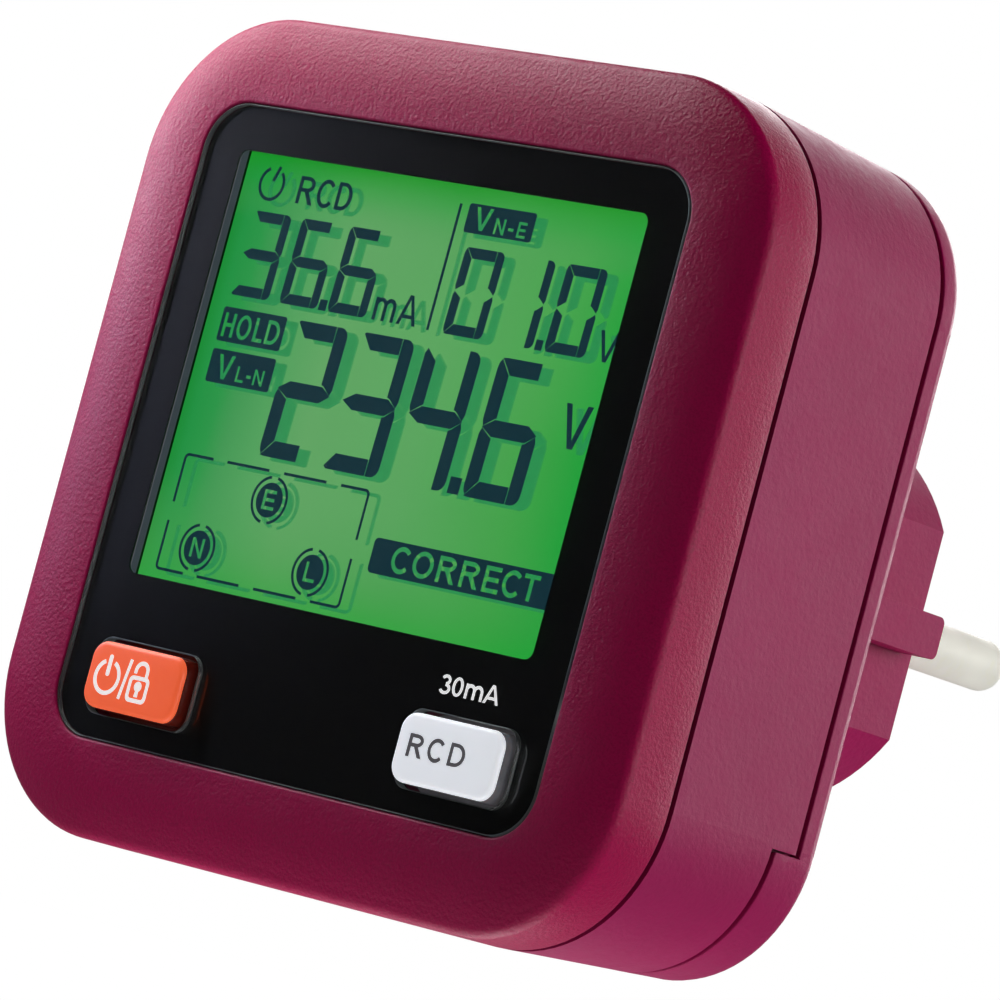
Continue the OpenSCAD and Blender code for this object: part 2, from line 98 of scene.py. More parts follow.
LENS = node_box("display_lens")
BEZEL = node_box("front_bezel")
BACKLIGHT = node_box("lcd_backlight")
KEYS = {node: node_box(node) for node in ("power_key", "rcd_key")}
KEY_W, KEY_H = 11.6, 6.0
KEY_PLAY = 0.76            # how much wider and higher a key's hole in the lens is
ACRYLIC_IOR = 1.49
SEGMENT_DEPTH = 2.22       # front of the display segments
LIT_DEPTH = BACKLIGHT.front - 0.02


# ------------------------------------------------------------------ camera

CAMERA_POS = Vector((394.503, -414.259 + FRONT_Y / MM, -39.331)) * MM
FOCAL_LENGTH, SENSOR_WIDTH = 244.19736, 36.0
# camera axes, and the slopes along right and down that lead from the lens axis to the aim
AXIS_RIGHT = Vector((0.7237616, 0.6402246, 0.2574521))
AXIS_DOWN = Vector((0.1534156, 0.2144624, -0.9646085))
AXIS_FORWARD = Vector((-0.6727799, 0.7376438, 0.0569992))
AIM_RIGHT, AIM_DOWN = 0.002548922, -0.0111038055

EYE = Vector((CAMERA_POS.x / MM, (CAMERA_POS.y - FRONT_Y) / MM, CAMERA_POS.z / MM))


def make_camera():
    camera = bpy.data.cameras.new("photo_camera")
    ob = bpy.data.objects.new("photo_camera", camera)
    bpy.context.scene.collection.objects.link(ob)
    camera.sensor_fit = "HORIZONTAL"
    camera.sensor_width = SENSOR_WIDTH
    camera.lens = FOCAL_LENGTH
    camera.clip_start = 0.01
    camera.clip_end = 50.0
    forward = (AXIS_RIGHT * AIM_RIGHT + AXIS_DOWN * AIM_DOWN + AXIS_FORWARD).normalized()
    right = (AXIS_RIGHT - forward * AXIS_RIGHT.dot(forward)).normalized()
    up = right.cross(forward).normalized()
    pose = Matrix((right, up, -forward)).transposed().to_4x4()
    pose.translation = CAMERA_POS
    ob.matrix_world = pose
    bpy.context.scene.camera = ob


make_camera()


def seen(x, z, depth, in_lens=False):
    """Point at a depth that shows at (x, z) of the front plane from the camera, looking
    through the acrylic lens. in_lens is for points within the lens itself."""
    ray = Vector((x, 0, z)) - EYE
    ray.normalize()
    bent_x, bent_z = ray.x / ACRYLIC_IOR, ray.z / ACRYLIC_IOR
    bent_y = math.sqrt(1 - bent_x ** 2 - bent_z ** 2)
    if in_lens:
        air, acrylic = LENS.front, depth - LENS.front
    else:
        acrylic = LENS.back - LENS.front
        air = depth - acrylic
    return (x + ray.x / ray.y * air + bent_x / bent_y * acrylic,
            z + ray.z / ray.y * air + bent_z / bent_y * acrylic)


# ------------------------------------------------------------------ shader helpers

def linear(hex_color):
    """Linear RGBA of an sRGB hex colour."""
    digits = hex_color.lstrip("#")
    out = []
    for i in (0, 2, 4):
        value = int(digits[i:i + 2], 16) / 255.0
        out.append(value / 12.92 if value <= 0.04045 else ((value + 0.055) / 1.055) ** 2.4)
    return out + [1.0]


def shade(color, factor):
    """A colour made darker or lighter, held to at most 1."""
    return [min(1, value * factor) for value in color[:3]] + [1]


class ShaderTree:
    """Builds the node tree of a material or a world."""

    def __init__(self, owner, output):
        owner.use_nodes = True
        self.tree = owner.node_tree
        self.tree.nodes.clear()
        self.out = self.add(output)

    def add(self, kind, inputs=None, **props):
        """inputs maps a socket's name or index to a value or to a socket to link."""
        node = self.tree.nodes.new(kind)
        for name, value in props.items():
            setattr(node, name, value)
        for key, value in (inputs or {}).items():
            if isinstance(value, (int, float, list, tuple)):
                node.inputs[key].default_value = value
            else:
                self.link(value, node.inputs[key])
        return node

    def link(self, source, target):
        self.tree.links.new(source, target)

    def math(self, operation, first, second):
        node = self.add("ShaderNodeMath", {0: first, 1: second}, operation=operation)
        return node.outputs[0]

    def mix_shader(self, factor, first, second):
        return self.add("ShaderNodeMixShader", {0: factor, 1: first, 2: second}).outputs[0]


class Material(ShaderTree):
    """A material whose textures follow object coordinates."""

    def __init__(self, name):
        self.mat = bpy.data.materials.new(name)
        super().__init__(self.mat, "ShaderNodeOutputMaterial")
        self.coord = self.add("ShaderNodeTexCoord").outputs["Object"]

    def noise(self, scale, detail=3.0, rough=0.55, vec=None, warp=0.0):
        return self.add("ShaderNodeTexNoise", {
            "Scale": scale, "Detail": detail, "Roughness": rough, "Distortion": warp,
            "Vector": vec or self.coord}).outputs["Fac"]

    def mapping(self, **inputs):
        return self.add("ShaderNodeMapping", {**inputs, "Vector": self.coord}).outputs["Vector"]

    def axes(self):
        return self.add("ShaderNodeSeparateXYZ", {0: self.coord}).outputs

    def ramp(self, factor, stops):
        node = self.add("ShaderNodeValToRGB", {"Fac": factor})
        elements = node.color_ramp.elements
        while len(elements) > 1:
            elements.remove(elements[-1])
        elements[0].position, elements[0].color = stops[0]
        for position, color in stops[1:]:
            elements.new(position).color = color
        return node.outputs["Color"]

    def remap(self, value, span, to):
        return self.add("ShaderNodeMapRange", {
            "Value": value, "From Min": span[0], "From Max": span[1],
            "To Min": to[0], "To Max": to[1]}).outputs["Result"]

    def mix(self, factor, first, second):
        return self.add("ShaderNodeMix", {"Factor": factor, 6: first, 7: second},
                        data_type="RGBA").outputs[2]

    def mottle(self, value, span, first, second, amount=1):
        """Goes from the first colour towards the second as value crosses the span."""
        return self.mix(self.remap(value, span, (0, amount)), first, second)

    def bump(self, height, depth):
        """Relief with a depth in millimetres."""
        return self.add("ShaderNodeBump", {
            "Strength": 1.0, "Distance": depth * MM, "Height": height}).outputs["Normal"]

    def principled(self, color, rough, normal=None, **extra):
        inputs = {"Base Color": color, "Roughness": rough}
        if normal is not None:
            inputs["Normal"] = normal
        inputs.update({name.replace("_", " "): value for name, value in extra.items()})
        self.link(self.add("ShaderNodeBsdfPrincipled", inputs).outputs[0],
                  self.out.inputs["Surface"])


# ------------------------------------------------------------------ materials
# grain and peel are noise scales; depth and the reach of the painted crevice shade are in
# millimetres

def plastic(name, color, rough=0.45, grain=2600, depth=0.012, tint=0.06, spec=0.5,
            crevice_shade=0.0, pit_shade=0.35, **extra):
    """Moulded plastic: eroded grain with painted shade in its pits, slight colour drift, uneven
    sheen, painted shade in crevices.
    """
    n = Material(name)
    fine = n.noise(grain, detail=4, rough=0.6)
    cells = n.add("ShaderNodeTexVoronoi", {"Scale": grain * 0.55, "Vector": n.coord},
                  feature="SMOOTH_F1").outputs["Distance"]
    height = n.math("ADD", n.math("MULTIPLY", fine, 0.6), n.math("MULTIPLY", cells, 0.5))
    normal = n.bump(height, depth)
    base = linear(color)
    col = n.mottle(n.noise(55, detail=2, rough=0.5), (0.35, 0.65),
                   shade(base, 1 - tint), shade(base, 1 + tint))
    # painted shade: the pits of the grain are darkened
    col = n.mix(n.remap(fine, (0.36, 0.54), (pit_shade, 0.0)), col, shade(base, 0.80))
    sheen = n.remap(n.noise(400, detail=3, rough=0.6), (0.3, 0.7), (rough - 0.05, rough + 0.06))
    # painted shade: the colour darkens towards a deep tone of itself where ambient occlusion
    # finds crevices and joins between parts
    if crevice_shade:
        ao = n.add("ShaderNodeAmbientOcclusion", {"Distance": crevice_shade * MM}, samples=5)
        closed = n.remap(ao.outputs["AO"], (0.12, 0.62), (1.0, 0.0))
        col = n.mix(closed, col, [base[0] * 0.16, base[1] * 0.05, base[2] * 0.08, 1])
    n.principled(col, sheen, normal, Specular_IOR_Level=spec, **extra)
    return n.mat


def metal(name, color, rough=0.28, scratch=0.004, metallic=1.0, painted_glow=0.0):
    """Plated or turned metal: fine drag lines, smudges and uneven sheen. The last argument is
    painted light, an even emission that brightens the metal.
    """
    n = Material(name)
    lines = n.noise(5200, detail=2, rough=0.5, vec=n.mapping(Scale=(1.0, 0.06, 1.0)))
    smudge = n.noise(260, detail=4, rough=0.6)
    base = linear(color)
    col = n.mottle(smudge, (0.35, 0.7), base, shade(base, 0.84))
    sheen = n.remap(smudge, (0.3, 0.7), (rough - 0.06, rough + 0.10))
    n.principled(col, sheen, n.bump(lines, scratch), Metallic=metallic,
                 Emission_Color=col, Emission_Strength=painted_glow)
    return n.mat


def coated(name, color, rough=0.3, peel=1200, depth=0.004, coat=0.3):
    """Lacquered or dipped part: soft orange peel under a thin gloss."""
    n = Material(name)
    skin = n.noise(peel, detail=2, rough=0.5)
    base = linear(color)
    col = n.mottle(n.noise(150, detail=3, rough=0.5), (0.35, 0.65), base, shade(base, 0.88))
    n.principled(col, n.remap(skin, (0.3, 0.7), (rough - 0.04, rough + 0.08)),
                 n.bump(skin, depth), Coat_Weight=coat, Coat_Roughness=0.12)
    return n.mat


def circuit_board(name):
    """Green solder resist over a pattern of tracks, with a fine weave."""
    n = Material(name)
    brick = n.add("ShaderNodeTexBrick", {
        "Vector": n.mapping(Rotation=(math.radians(90), 0, 0)),
        "Scale": 330, "Mortar Size": 0.012, "Color1": linear("#174f2b"),
        "Color2": linear("#1c6236"), "Mortar": linear("#2f8a4c")})
    weave = n.noise(3200, detail=2, rough=0.5)
    col = n.mottle(n.noise(420, detail=2, rough=0.4), (0.5, 0.6),
                   brick.outputs["Color"], linear("#12401f"), amount=0.5)
    n.principled(col, 0.32, n.bump(weave, depth=0.006), Coat_Weight=0.35, Coat_Roughness=0.2)
    return n.mat


def cell_sleeve(name):
    """Plain battery sleeve in two colour bands, parted at a height in metres."""
    n = Material(name)
    band = n.math("GREATER_THAN", n.axes()["Z"], 0.011)
    col = n.mix(band, linear("#28303a"), linear("#b98a3c"))
    col = n.mottle(n.noise(300, detail=3, rough=0.6), (0.4, 0.7), col, linear("#11151a"),
                   amount=0.3)
    n.principled(col, 0.3, n.bump(n.noise(900, detail=2, rough=0.5), depth=0.003),
                 Coat_Weight=0.5, Coat_Roughness=0.08, Metallic=0.2)
    return n.mat


def clear_acrylic(name, tint="#ffffff", rough=0.015):
    """Clear acrylic with faint wiping marks."""
    n = Material(name)
    marks = n.noise(700, detail=4, rough=0.7, warp=0.6)
    n.principled(linear(tint), n.remap(marks, (0.35, 0.75), (rough, rough + 0.02)),
                 n.bump(n.noise(90, detail=2, rough=0.5), depth=0.0006), IOR=ACRYLIC_IOR,
                 Transmission_Weight=1.0, Specular_IOR_Level=0.5)
    return n.mat


def print_ink(name, color, glow):
    # painted light: the glow is an even emission that keeps the print bright where lamps barely
    # reach
    n = Material(name)
    base = linear(color)
    speck = n.noise(5000, detail=2, rough=0.5)
    col = n.mottle(speck, (0.3, 0.7), base, shade(base, 0.93))
    n.principled(col, 0.5, n.bump(speck, depth=0.002), Emission_Color=col,
                 Emission_Strength=glow)
    return n.mat


def flat_glow(name, color, alpha=1.0):
    """Display layer that shows one even colour whatever the light."""
    n = Material(name)
    base = linear(color)
    col = n.mottle(n.noise(1500, detail=2, rough=0.5), (0.3, 0.7), base, shade(base, 0.9))
    n.principled([0.01, 0.02, 0.02, 1], 0.5, Emission_Color=col, Emission_Strength=1.0,
                 Specular_IOR_Level=0.15, Alpha=alpha)
    return n.mat


def key_face(name, color, glow):
    """Printed face over translucent silicone, brightened by painted light: an even emission
    that stands in for a lamp.
    """
    return plastic(name, color, rough=0.36, grain=1500, depth=0.005, tint=0.03, spec=0.5,
                   Subsurface_Weight=0.12, Subsurface_Scale=0.001,
                   Emission_Color=linear(color), Emission_Strength=glow)


def key_side(name, color, glow):
    """Translucent silicone of a key's sides, with a little painted light: an even emission that
    brightens it.
    """
    n = Material(name)
    base = linear(color)
    cloud = n.noise(900, detail=3, rough=0.6)
    col = n.mottle(cloud, (0.3, 0.7), base, shade(base, 0.75))
    n.principled(col, 0.25, n.bump(cloud, depth=0.003), Subsurface_Weight=0.4,
                 Subsurface_Scale=0.002, Specular_IOR_Level=0.6, Coat_Weight=0.3,
                 Emission_Color=col, Emission_Strength=glow)
    return n.mat


# colours across the backlight from left to right, for its middle; the paler green right of the
# darker left band is partly the backlight's own spread and partly a painted reflection off the
# lens
LIT_ACROSS = (
    (0.0, "#1c8e36"), (0.03, "#269747"), (0.078, "#2f9a4c"), (0.12, "#459c57"),
    (0.20, "#58a662"), (0.30, "#66aa68"), (0.55, "#5ca860"), (0.80, "#45a64c"),
    (0.93, "#20a23c"), (0.985, "#0c9c1c"), (1.0, "#089612"))
# colours from bottom to top, for its rim
LIT_UP = ((0.0, "#1aa634"), (0.10, "#3aa146"), (0.25, "#50a058"), (0.86, "#52a05a"),
          (0.93, "#1f9f3a"), (1.0, "#089512"))
# share of the rim colour from bottom to top
LIT_RIM = ((0.0, 0.75), (0.14, 0.25), (0.26, 0), (0.84, 0), (0.93, 0.5), (1.0, 0.95))


def lit_green(name):
    """Green backlight: saturated rim, paler middle that partly holds a painted reflection off
    the lens, soft mottling.
    """
    n = Material(name)
    axes = n.axes()
    across = n.remap(axes["X"], (BACKLIGHT.left * MM, BACKLIGHT.right * MM), (0, 1))
    up = n.remap(axes["Z"], (BACKLIGHT.bottom * MM, BACKLIGHT.top * MM), (0, 1))
    middle = n.ramp(across, [(place, linear(color)) for place, color in LIT_ACROSS])
    rim = n.ramp(up, [(place, linear(color)) for place, color in LIT_UP])
    share = n.ramp(up, [(place, (grey, grey, grey, 1)) for place, grey in LIT_RIM])
    share = n.add("ShaderNodeRGBToBW", {0: share}).outputs[0]
    col = n.mottle(n.noise(30, detail=2, rough=0.5), (0.4, 0.6),
                   n.mix(share, middle, rim), linear("#7cc07c"), amount=0.10)
    n.principled([0.01, 0.03, 0.01, 1], 0.6, Emission_Color=col, Emission_Strength=1.0,
                 Specular_IOR_Level=0.1)
    return n.mat


LOOKS = {
    # both case looks carry painted shade in their grain pits and crevices
    "case_front": plastic("case_front_grain", "#be0656", rough=0.34, grain=5200, depth=0.075,
                          tint=0.04, spec=0.31, crevice_shade=0.9, pit_shade=0.9),
    "case": plastic("case_side_grain", "#b4075f", rough=0.46, grain=3000, depth=0.045,
                    tint=0.04, spec=0.5, crevice_shade=0.9, pit_shade=0.25),
    "black_mould": plastic("moulded_black", "#1d1f23", rough=0.5, grain=3000, depth=0.006),
    "film": coated("black_print_film", "#030304", rough=0.35, peel=2600, depth=0.0005,
                   coat=0.0),
    "holder": plastic("holder_cream", "#d8d2c2", rough=0.5, grain=3000, depth=0.006),
    "relay": plastic("relay_cream", "#dcd8c4", rough=0.42, grain=3200, depth=0.004),
    "film_case": plastic("film_yellow", "#c9992c", rough=0.4, grain=3200, depth=0.004),
    "varistor": coated("varistor_blue", "#22488f", rough=0.32, peel=700, depth=0.02),
    "resistor": coated("resistor_blue", "#7ba6c4", rough=0.4, peel=1400, depth=0.008,
                       coat=0.15),
    "silicone": plastic("silicone_clear", "#c9c4c0", rough=0.5, grain=1800, depth=0.004,
                        Subsurface_Weight=0.3),
    "carbon": plastic("carbon_rubber", "#151517", rough=0.75, grain=2600, depth=0.01),
    "zebra": plastic("zebra_rubber", "#c98492", rough=0.6, grain=4200, depth=0.01),
    "led": plastic("led_package", "#ece8cf", rough=0.35, grain=3000, depth=0.002),
    "nickel": metal("nickel_plate", "#dedcd2", rough=0.26),
    "steel": metal("zinc_steel", "#a9adb2", rough=0.32),
    "gold": metal("gold_plate", "#cfa852", rough=0.25),
    "brass": metal("turned_brass", "#c39a49", rough=0.3),
    "board": circuit_board("solder_resist"),
    "cell": cell_sleeve("cell_sleeve"),
}
for lead, lead_color in (("red", "#8e1a1a"), ("brown", "#5c3820"), ("blue", "#27529c"),
                         ("green", "#7a9a2c")):
    LOOKS[lead] = plastic("lead_" + lead, lead_color, rough=0.45, grain=2600, depth=0.003)
LOOKS.update({
    "lens": clear_acrylic("clear_acrylic"),
    "lens_edge": clear_acrylic("lens_cut_edge", tint="#7d8a84", rough=0.55),
    "lit": lit_green("lit_green"),
    "segment": flat_glow("lcd_segment_dark", "#12303a"),
    "ghost": flat_glow("lcd_segment_shade", "#2b9355", alpha=0.27),
    # painted light: the display margin's grey glow and a painted glint on the glass edge
    "blind": flat_glow("lcd_blind_edge", "#3b4549"),
    "painted_edge_glint": flat_glow("lcd_blind_line", "#625f68"),
    # the glow of the prints and of the key faces and sides is painted light
    "white_print": print_ink("white_print", "#f2f2f2", glow=0.80),
    "orange": key_face("key_orange_print", "#f8663c", glow=0.55),
    "orange_side": key_side("key_red_silicone", "#6a1a10", glow=0.08),
    "grey": key_face("key_grey_print", "#eceff4", glow=0.58),
    "grey_side": key_side("key_grey_silicone", "#8b898e", glow=0.12),
    "key_white": print_ink("key_white_ink", "#f6f1ee", glow=0.60),
    "key_dark": print_ink("key_dark_ink", "#4c4a4c", glow=0.6),
    # painted light: the pin glows a little so that it reads near white
    "pin": metal("pin_nickel", "#f6f6ea", rough=0.52, scratch=0.001, metallic=0.15,
                 painted_glow=0.30),
})


# ------------------------------------------------------------------ outlines in X and Z (mm)

def rounded_rect(width, height, radius, cx, cz, steps):
    """Rounded rectangle, counted the same way whatever the sizes."""
    points = []
    radius = max(radius, 1e-4)
    for k, (sx, sz) in enumerate(((1, 1), (-1, 1), (-1, -1), (1, -1))):
        corner_x = cx + sx * (width / 2 - radius)
        corner_z = cz + sz * (height / 2 - radius)
        for i in range(steps + 1):
            angle = math.radians(90 * k + 90 * i / steps)
            points.append((corner_x + radius * math.cos(angle),
                           corner_z + radius * math.sin(angle)))
    return points


def ellipse(cx, cz, radius_x, radius_z, start=0, end=360, steps=28):
    """Part of an ellipse between two angles in degrees; a full turn leaves out its end."""
    points = []
    for i in range(steps if abs(end - start) >= 360 else steps + 1):
        angle = math.radians(start + (end - start) * i / steps)
        points.append((cx + radius_x * math.cos(angle), cz + radius_z * math.sin(angle)))
    return points


def arc(cx, cz, radius, start, end, steps):
    return ellipse(cx, cz, radius, radius, start, end, steps)


def disc(cx, cz, radius, steps=36):
    return arc(cx, cz, radius, 0, 360, steps)


def block(left, bottom, right, top):
    return [(left, bottom), (right, bottom), (right, top), (left, top)]


def stroke(points, width):
    """Outline of a bent line of constant width, mitred at its corners."""
    left, right = [], []
    last = len(points) - 1
    for i, (x, z) in enumerate(points):
        before, after = points[max(i - 1, 0)], points[min(i + 1, last)]
        in_x, in_z = x - before[0], z - before[1]
        out_x, out_z = after[0] - x, after[1] - z
        if 0 < i < last:
            in_len, out_len = math.hypot(in_x, in_z), math.hypot(out_x, out_z)
            dx, dz = in_x / in_len + out_x / out_len, in_z / in_len + out_z / out_len
        else:
            dx, dz = (out_x, out_z) if i == 0 else (in_x, in_z)
        length = math.hypot(dx, dz)
        mitre = 1.0
        if 0 < i < last:
            cosine = abs(in_x / in_len * dx / length + in_z / in_len * dz / length)
            mitre = min(2.0, 1.0 / max(cosine, 0.4))
        side_x = -dz / length * width / 2 * mitre
        side_z = dx / length * width / 2 * mitre
        left.append((x + side_x, z + side_z))
        right.append((x - side_x, z - side_z))
    return left + right[::-1]


# ------------------------------------------------------------------ mesh helpers

def make_piece(name, bm, looks, body="case", angle=30, replaces=None, flat=False):
    """Object from a bmesh, sharp where faces meet at more than the angle in degrees.
    flat keeps the broad faces square to the wall truly flat in shading."""
    bmesh.ops.recalc_face_normals(bm, faces=bm.faces)
    me = bpy.data.meshes.new(name)
    for face in bm.faces:
        face.smooth = not (flat and abs(face.normal.y) > 0.9999)
    limit = math.radians(angle)
    for edge in bm.edges:
        edge.smooth = len(edge.link_faces) == 2 and edge.calc_face_angle(0.0) < limit
    bm.to_mesh(me)
    bm.free()
    for look in looks:
        me.materials.append(LOOKS[look])
    ob = bpy.data.objects.new(name, me)
    bpy.context.scene.collection.objects.link(ob)
    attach(ob, body)
    if replaces:
        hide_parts(replaces)
    return ob


def loft(bm, loops, closed=False, ends=False, second_from=math.inf):
    """Bridges loops of (points, depth). closed joins the last to the first, ends caps both.
    Bridges numbered second_from and up get the second material."""
    rings = [[bm.verts.new((x * MM, y_at(depth), z * MM)) for x, z in points]
             for points, depth in loops]
    count = len(rings[0])
    pairs = list(zip(rings, rings[1:]))
    if closed:
        pairs.append((rings[-1], rings[0]))
    for k, (a, b) in enumerate(pairs):
        for i in range(count):
            j = (i + 1) % count
            face = bm.faces.new((a[i], a[j], b[j], b[i]))
            face.material_index = int(k >= second_from)
    if ends:
        bm.faces.new(rings[0]).material_index = int(second_from <= 0)
        bm.faces.new(rings[-1]).material_index = int(len(pairs) - 1 >= second_from)


def rect_loops(stations, centre, steps):
    """Loops from stations of (width, height, corner radius, depth)."""
    return [(rounded_rect(width, height, radius, *centre, steps), depth)
            for width, height, radius, depth in stations]


def plate_mesh(outline, holes, front, back, bevel=0.0):
    """Flat plate with holes, between two depths."""
    curve = bpy.data.curves.new("tmp_plate", "CURVE")
    curve.dimensions = "2D"
    curve.fill_mode = "BOTH"
    curve.extrude = (back - front) / 2 * MM - bevel * MM
    curve.bevel_depth = bevel * MM
    curve.bevel_resolution = 2
    curve.offset = -bevel * MM
    for points in [outline] + list(holes):
        spline = curve.splines.new("POLY")
        spline.points.add(len(points) - 1)
        for point, (x, z) in zip(spline.points, points):
            point.co = (x * MM, z * MM, 0, 1)
        spline.use_cyclic_u = True
    ob = bpy.data.objects.new("tmp_plate", curve)
    bpy.context.scene.collection.objects.link(ob)
    depsgraph = bpy.context.evaluated_depsgraph_get()
    me = bpy.data.meshes.new_from_object(ob.evaluated_get(depsgraph))
    me.transform(Matrix.Translation((0, y_at((front + back) / 2), 0))
                 @ Matrix.Rotation(math.radians(90), 4, "X"))
    bpy.data.objects.remove(ob)
    bpy.data.curves.remove(curve)
    bm = bmesh.new()
    bm.from_mesh(me)
    bpy.data.meshes.remove(me)
    bmesh.ops.remove_doubles(bm, verts=bm.verts, dist=1e-7)
    return bm


def append_mesh(target, source, slot_index=0):
    """Moves the source bmesh into the target, with one material index throughout."""
    me = bpy.data.meshes.new("tmp_append")
    source.to_mesh(me)
    source.free()
    before = len(target.faces)
    target.from_mesh(me)
    bpy.data.meshes.remove(me)
    target.faces.ensure_lookup_table()
    for face in target.faces[before:]:
        face.material_index = slot_index


# ------------------------------------------------------------------ letters and figures

def bowl(left, bottom, top, turn, reach):
    """Straight on the left up to x = turn, then a half ellipse that reaches to the right."""
    curve = ellipse(turn, (bottom + top) / 2, reach, (top - bottom) / 2, -90, 90)
    return [(left, bottom), (turn, bottom)] + curve + [(turn, top), (left, top)]


def glyph(char, width, height, stem):
    """Plain sans letter from its lower left corner: (solid outlines, holes).
    A character without a shape of its own is a plain block."""
    bar = 0.9 * stem
    mid_x, mid_z = width / 2, height / 2
    upright = block(0, 0, stem, height)
    far_upright = block(width - stem, 0, width, height)
    foot = block(stem / 2, 0, width, bar)
    if char == "H":
        return [upright, far_upright,
                block(stem / 2, mid_z - bar / 2, width - stem / 2, mid_z + bar / 2)], []
    if char == "L":
        return [upright, foot], []
    if char == "E":
        return [upright, foot, block(stem / 2, height - bar, width * 0.97, height),
                block(stem / 2, mid_z - bar / 2, width * 0.92, mid_z + bar / 2)], []
    if char == "T":
        return [block(mid_x - stem / 2, 0, mid_x + stem / 2, height - bar / 2),
                block(0, height - bar, width, height)], []
    if char == "N":
        return [upright, far_upright,
                [(0, height), (width - stem * 1.05, 0), (width, 0), (stem * 1.05, height)]], []
    if char == "V":
        return [[(0, height), (mid_x - stem * 0.52, 0), (mid_x + stem * 0.52, 0),
                 (width, height), (width - stem * 1.08, height), (mid_x, stem * 1.25),
                 (stem * 1.08, height)]], []
    if char == "A":
        return [[(0, 0), (stem * 1.05, 0), (mid_x + stem * 0.35, height),
                 (mid_x - stem * 0.55, height)],
                [(width, 0), (mid_x + stem * 0.55, height), (mid_x - stem * 0.35, height),
                 (width - stem * 1.05, 0)],
                block(width * 0.2, height * 0.22, width * 0.8, height * 0.22 + bar)], []
    if char in "O0":
        return ([ellipse(mid_x, mid_z, mid_x, mid_z)],
                [ellipse(mid_x, mid_z, mid_x - stem, mid_z - bar)])
    if char == "D":
        turn = width * 0.42
        return ([bowl(0, 0, height, turn, width - turn)],
                [bowl(stem, bar, height - bar, turn, width - turn - stem)])
    if char == "C":
        return [stroke(ellipse(width * 0.53, mid_z, width * 0.53 - stem / 2,
                               mid_z - bar / 2, 40, 320, 40), stem * 0.96)], []
    if char == "R":
        low = height - 2 * height * 0.28
        leg = [(width * 0.34, low + bar * 0.6), (width - stem * 1.25, 0), (width, 0),
               (width * 0.60, low + bar * 0.6)]
        return ([upright, bowl(0, low, height, mid_x, width * 0.43), leg],
                [bowl(stem, low + bar, height - bar, mid_x, width * 0.43 - stem)])
    if char == "m":
        radius = (width - stem) / 4
        spring = height - radius - bar / 2
        solids = [upright]
        for k in (0, 1):
            solids.append(stroke(ellipse(stem / 2 + radius + 2 * radius * k, spring,
                                         radius, radius, 180, 0, 16), stem))
            solids.append(block(2 * radius * (k + 1), 0, 2 * radius * (k + 1) + stem, spring))
        return solids, []
    if char == "3":
        upper = ellipse(width * 0.46, height * 0.735, width * 0.40 - stem * 0.3,
                        height * 0.265 - bar / 2, 160, -82, 24)
        lower = ellipse(width * 0.48, height * 0.285, width * 0.52 - stem / 2,
                        height * 0.285 - bar / 2, 88, -160, 26)
        return [stroke(upper, stem * 0.95), stroke(lower, stem * 0.95)], []
    return [block(0, 0, width, height)], []


# bars lit for each figure: a top, b and c right, d bottom, e and f left, g middle
LIT_BARS = {"0": "abcdef", "1": "bc", "2": "abged", "3": "abgcd", "4": "fgbc", "6": "afgedc"}
DIGIT_LEAN = 0.026
SMALL_DIGIT = {"width": 4.58, "height": 7.6, "bar": 0.93, "gap": 0.07}
MAIN_DIGIT = {"width": 6.42, "height": 12.08, "bar": 1.45, "gap": 0.09}


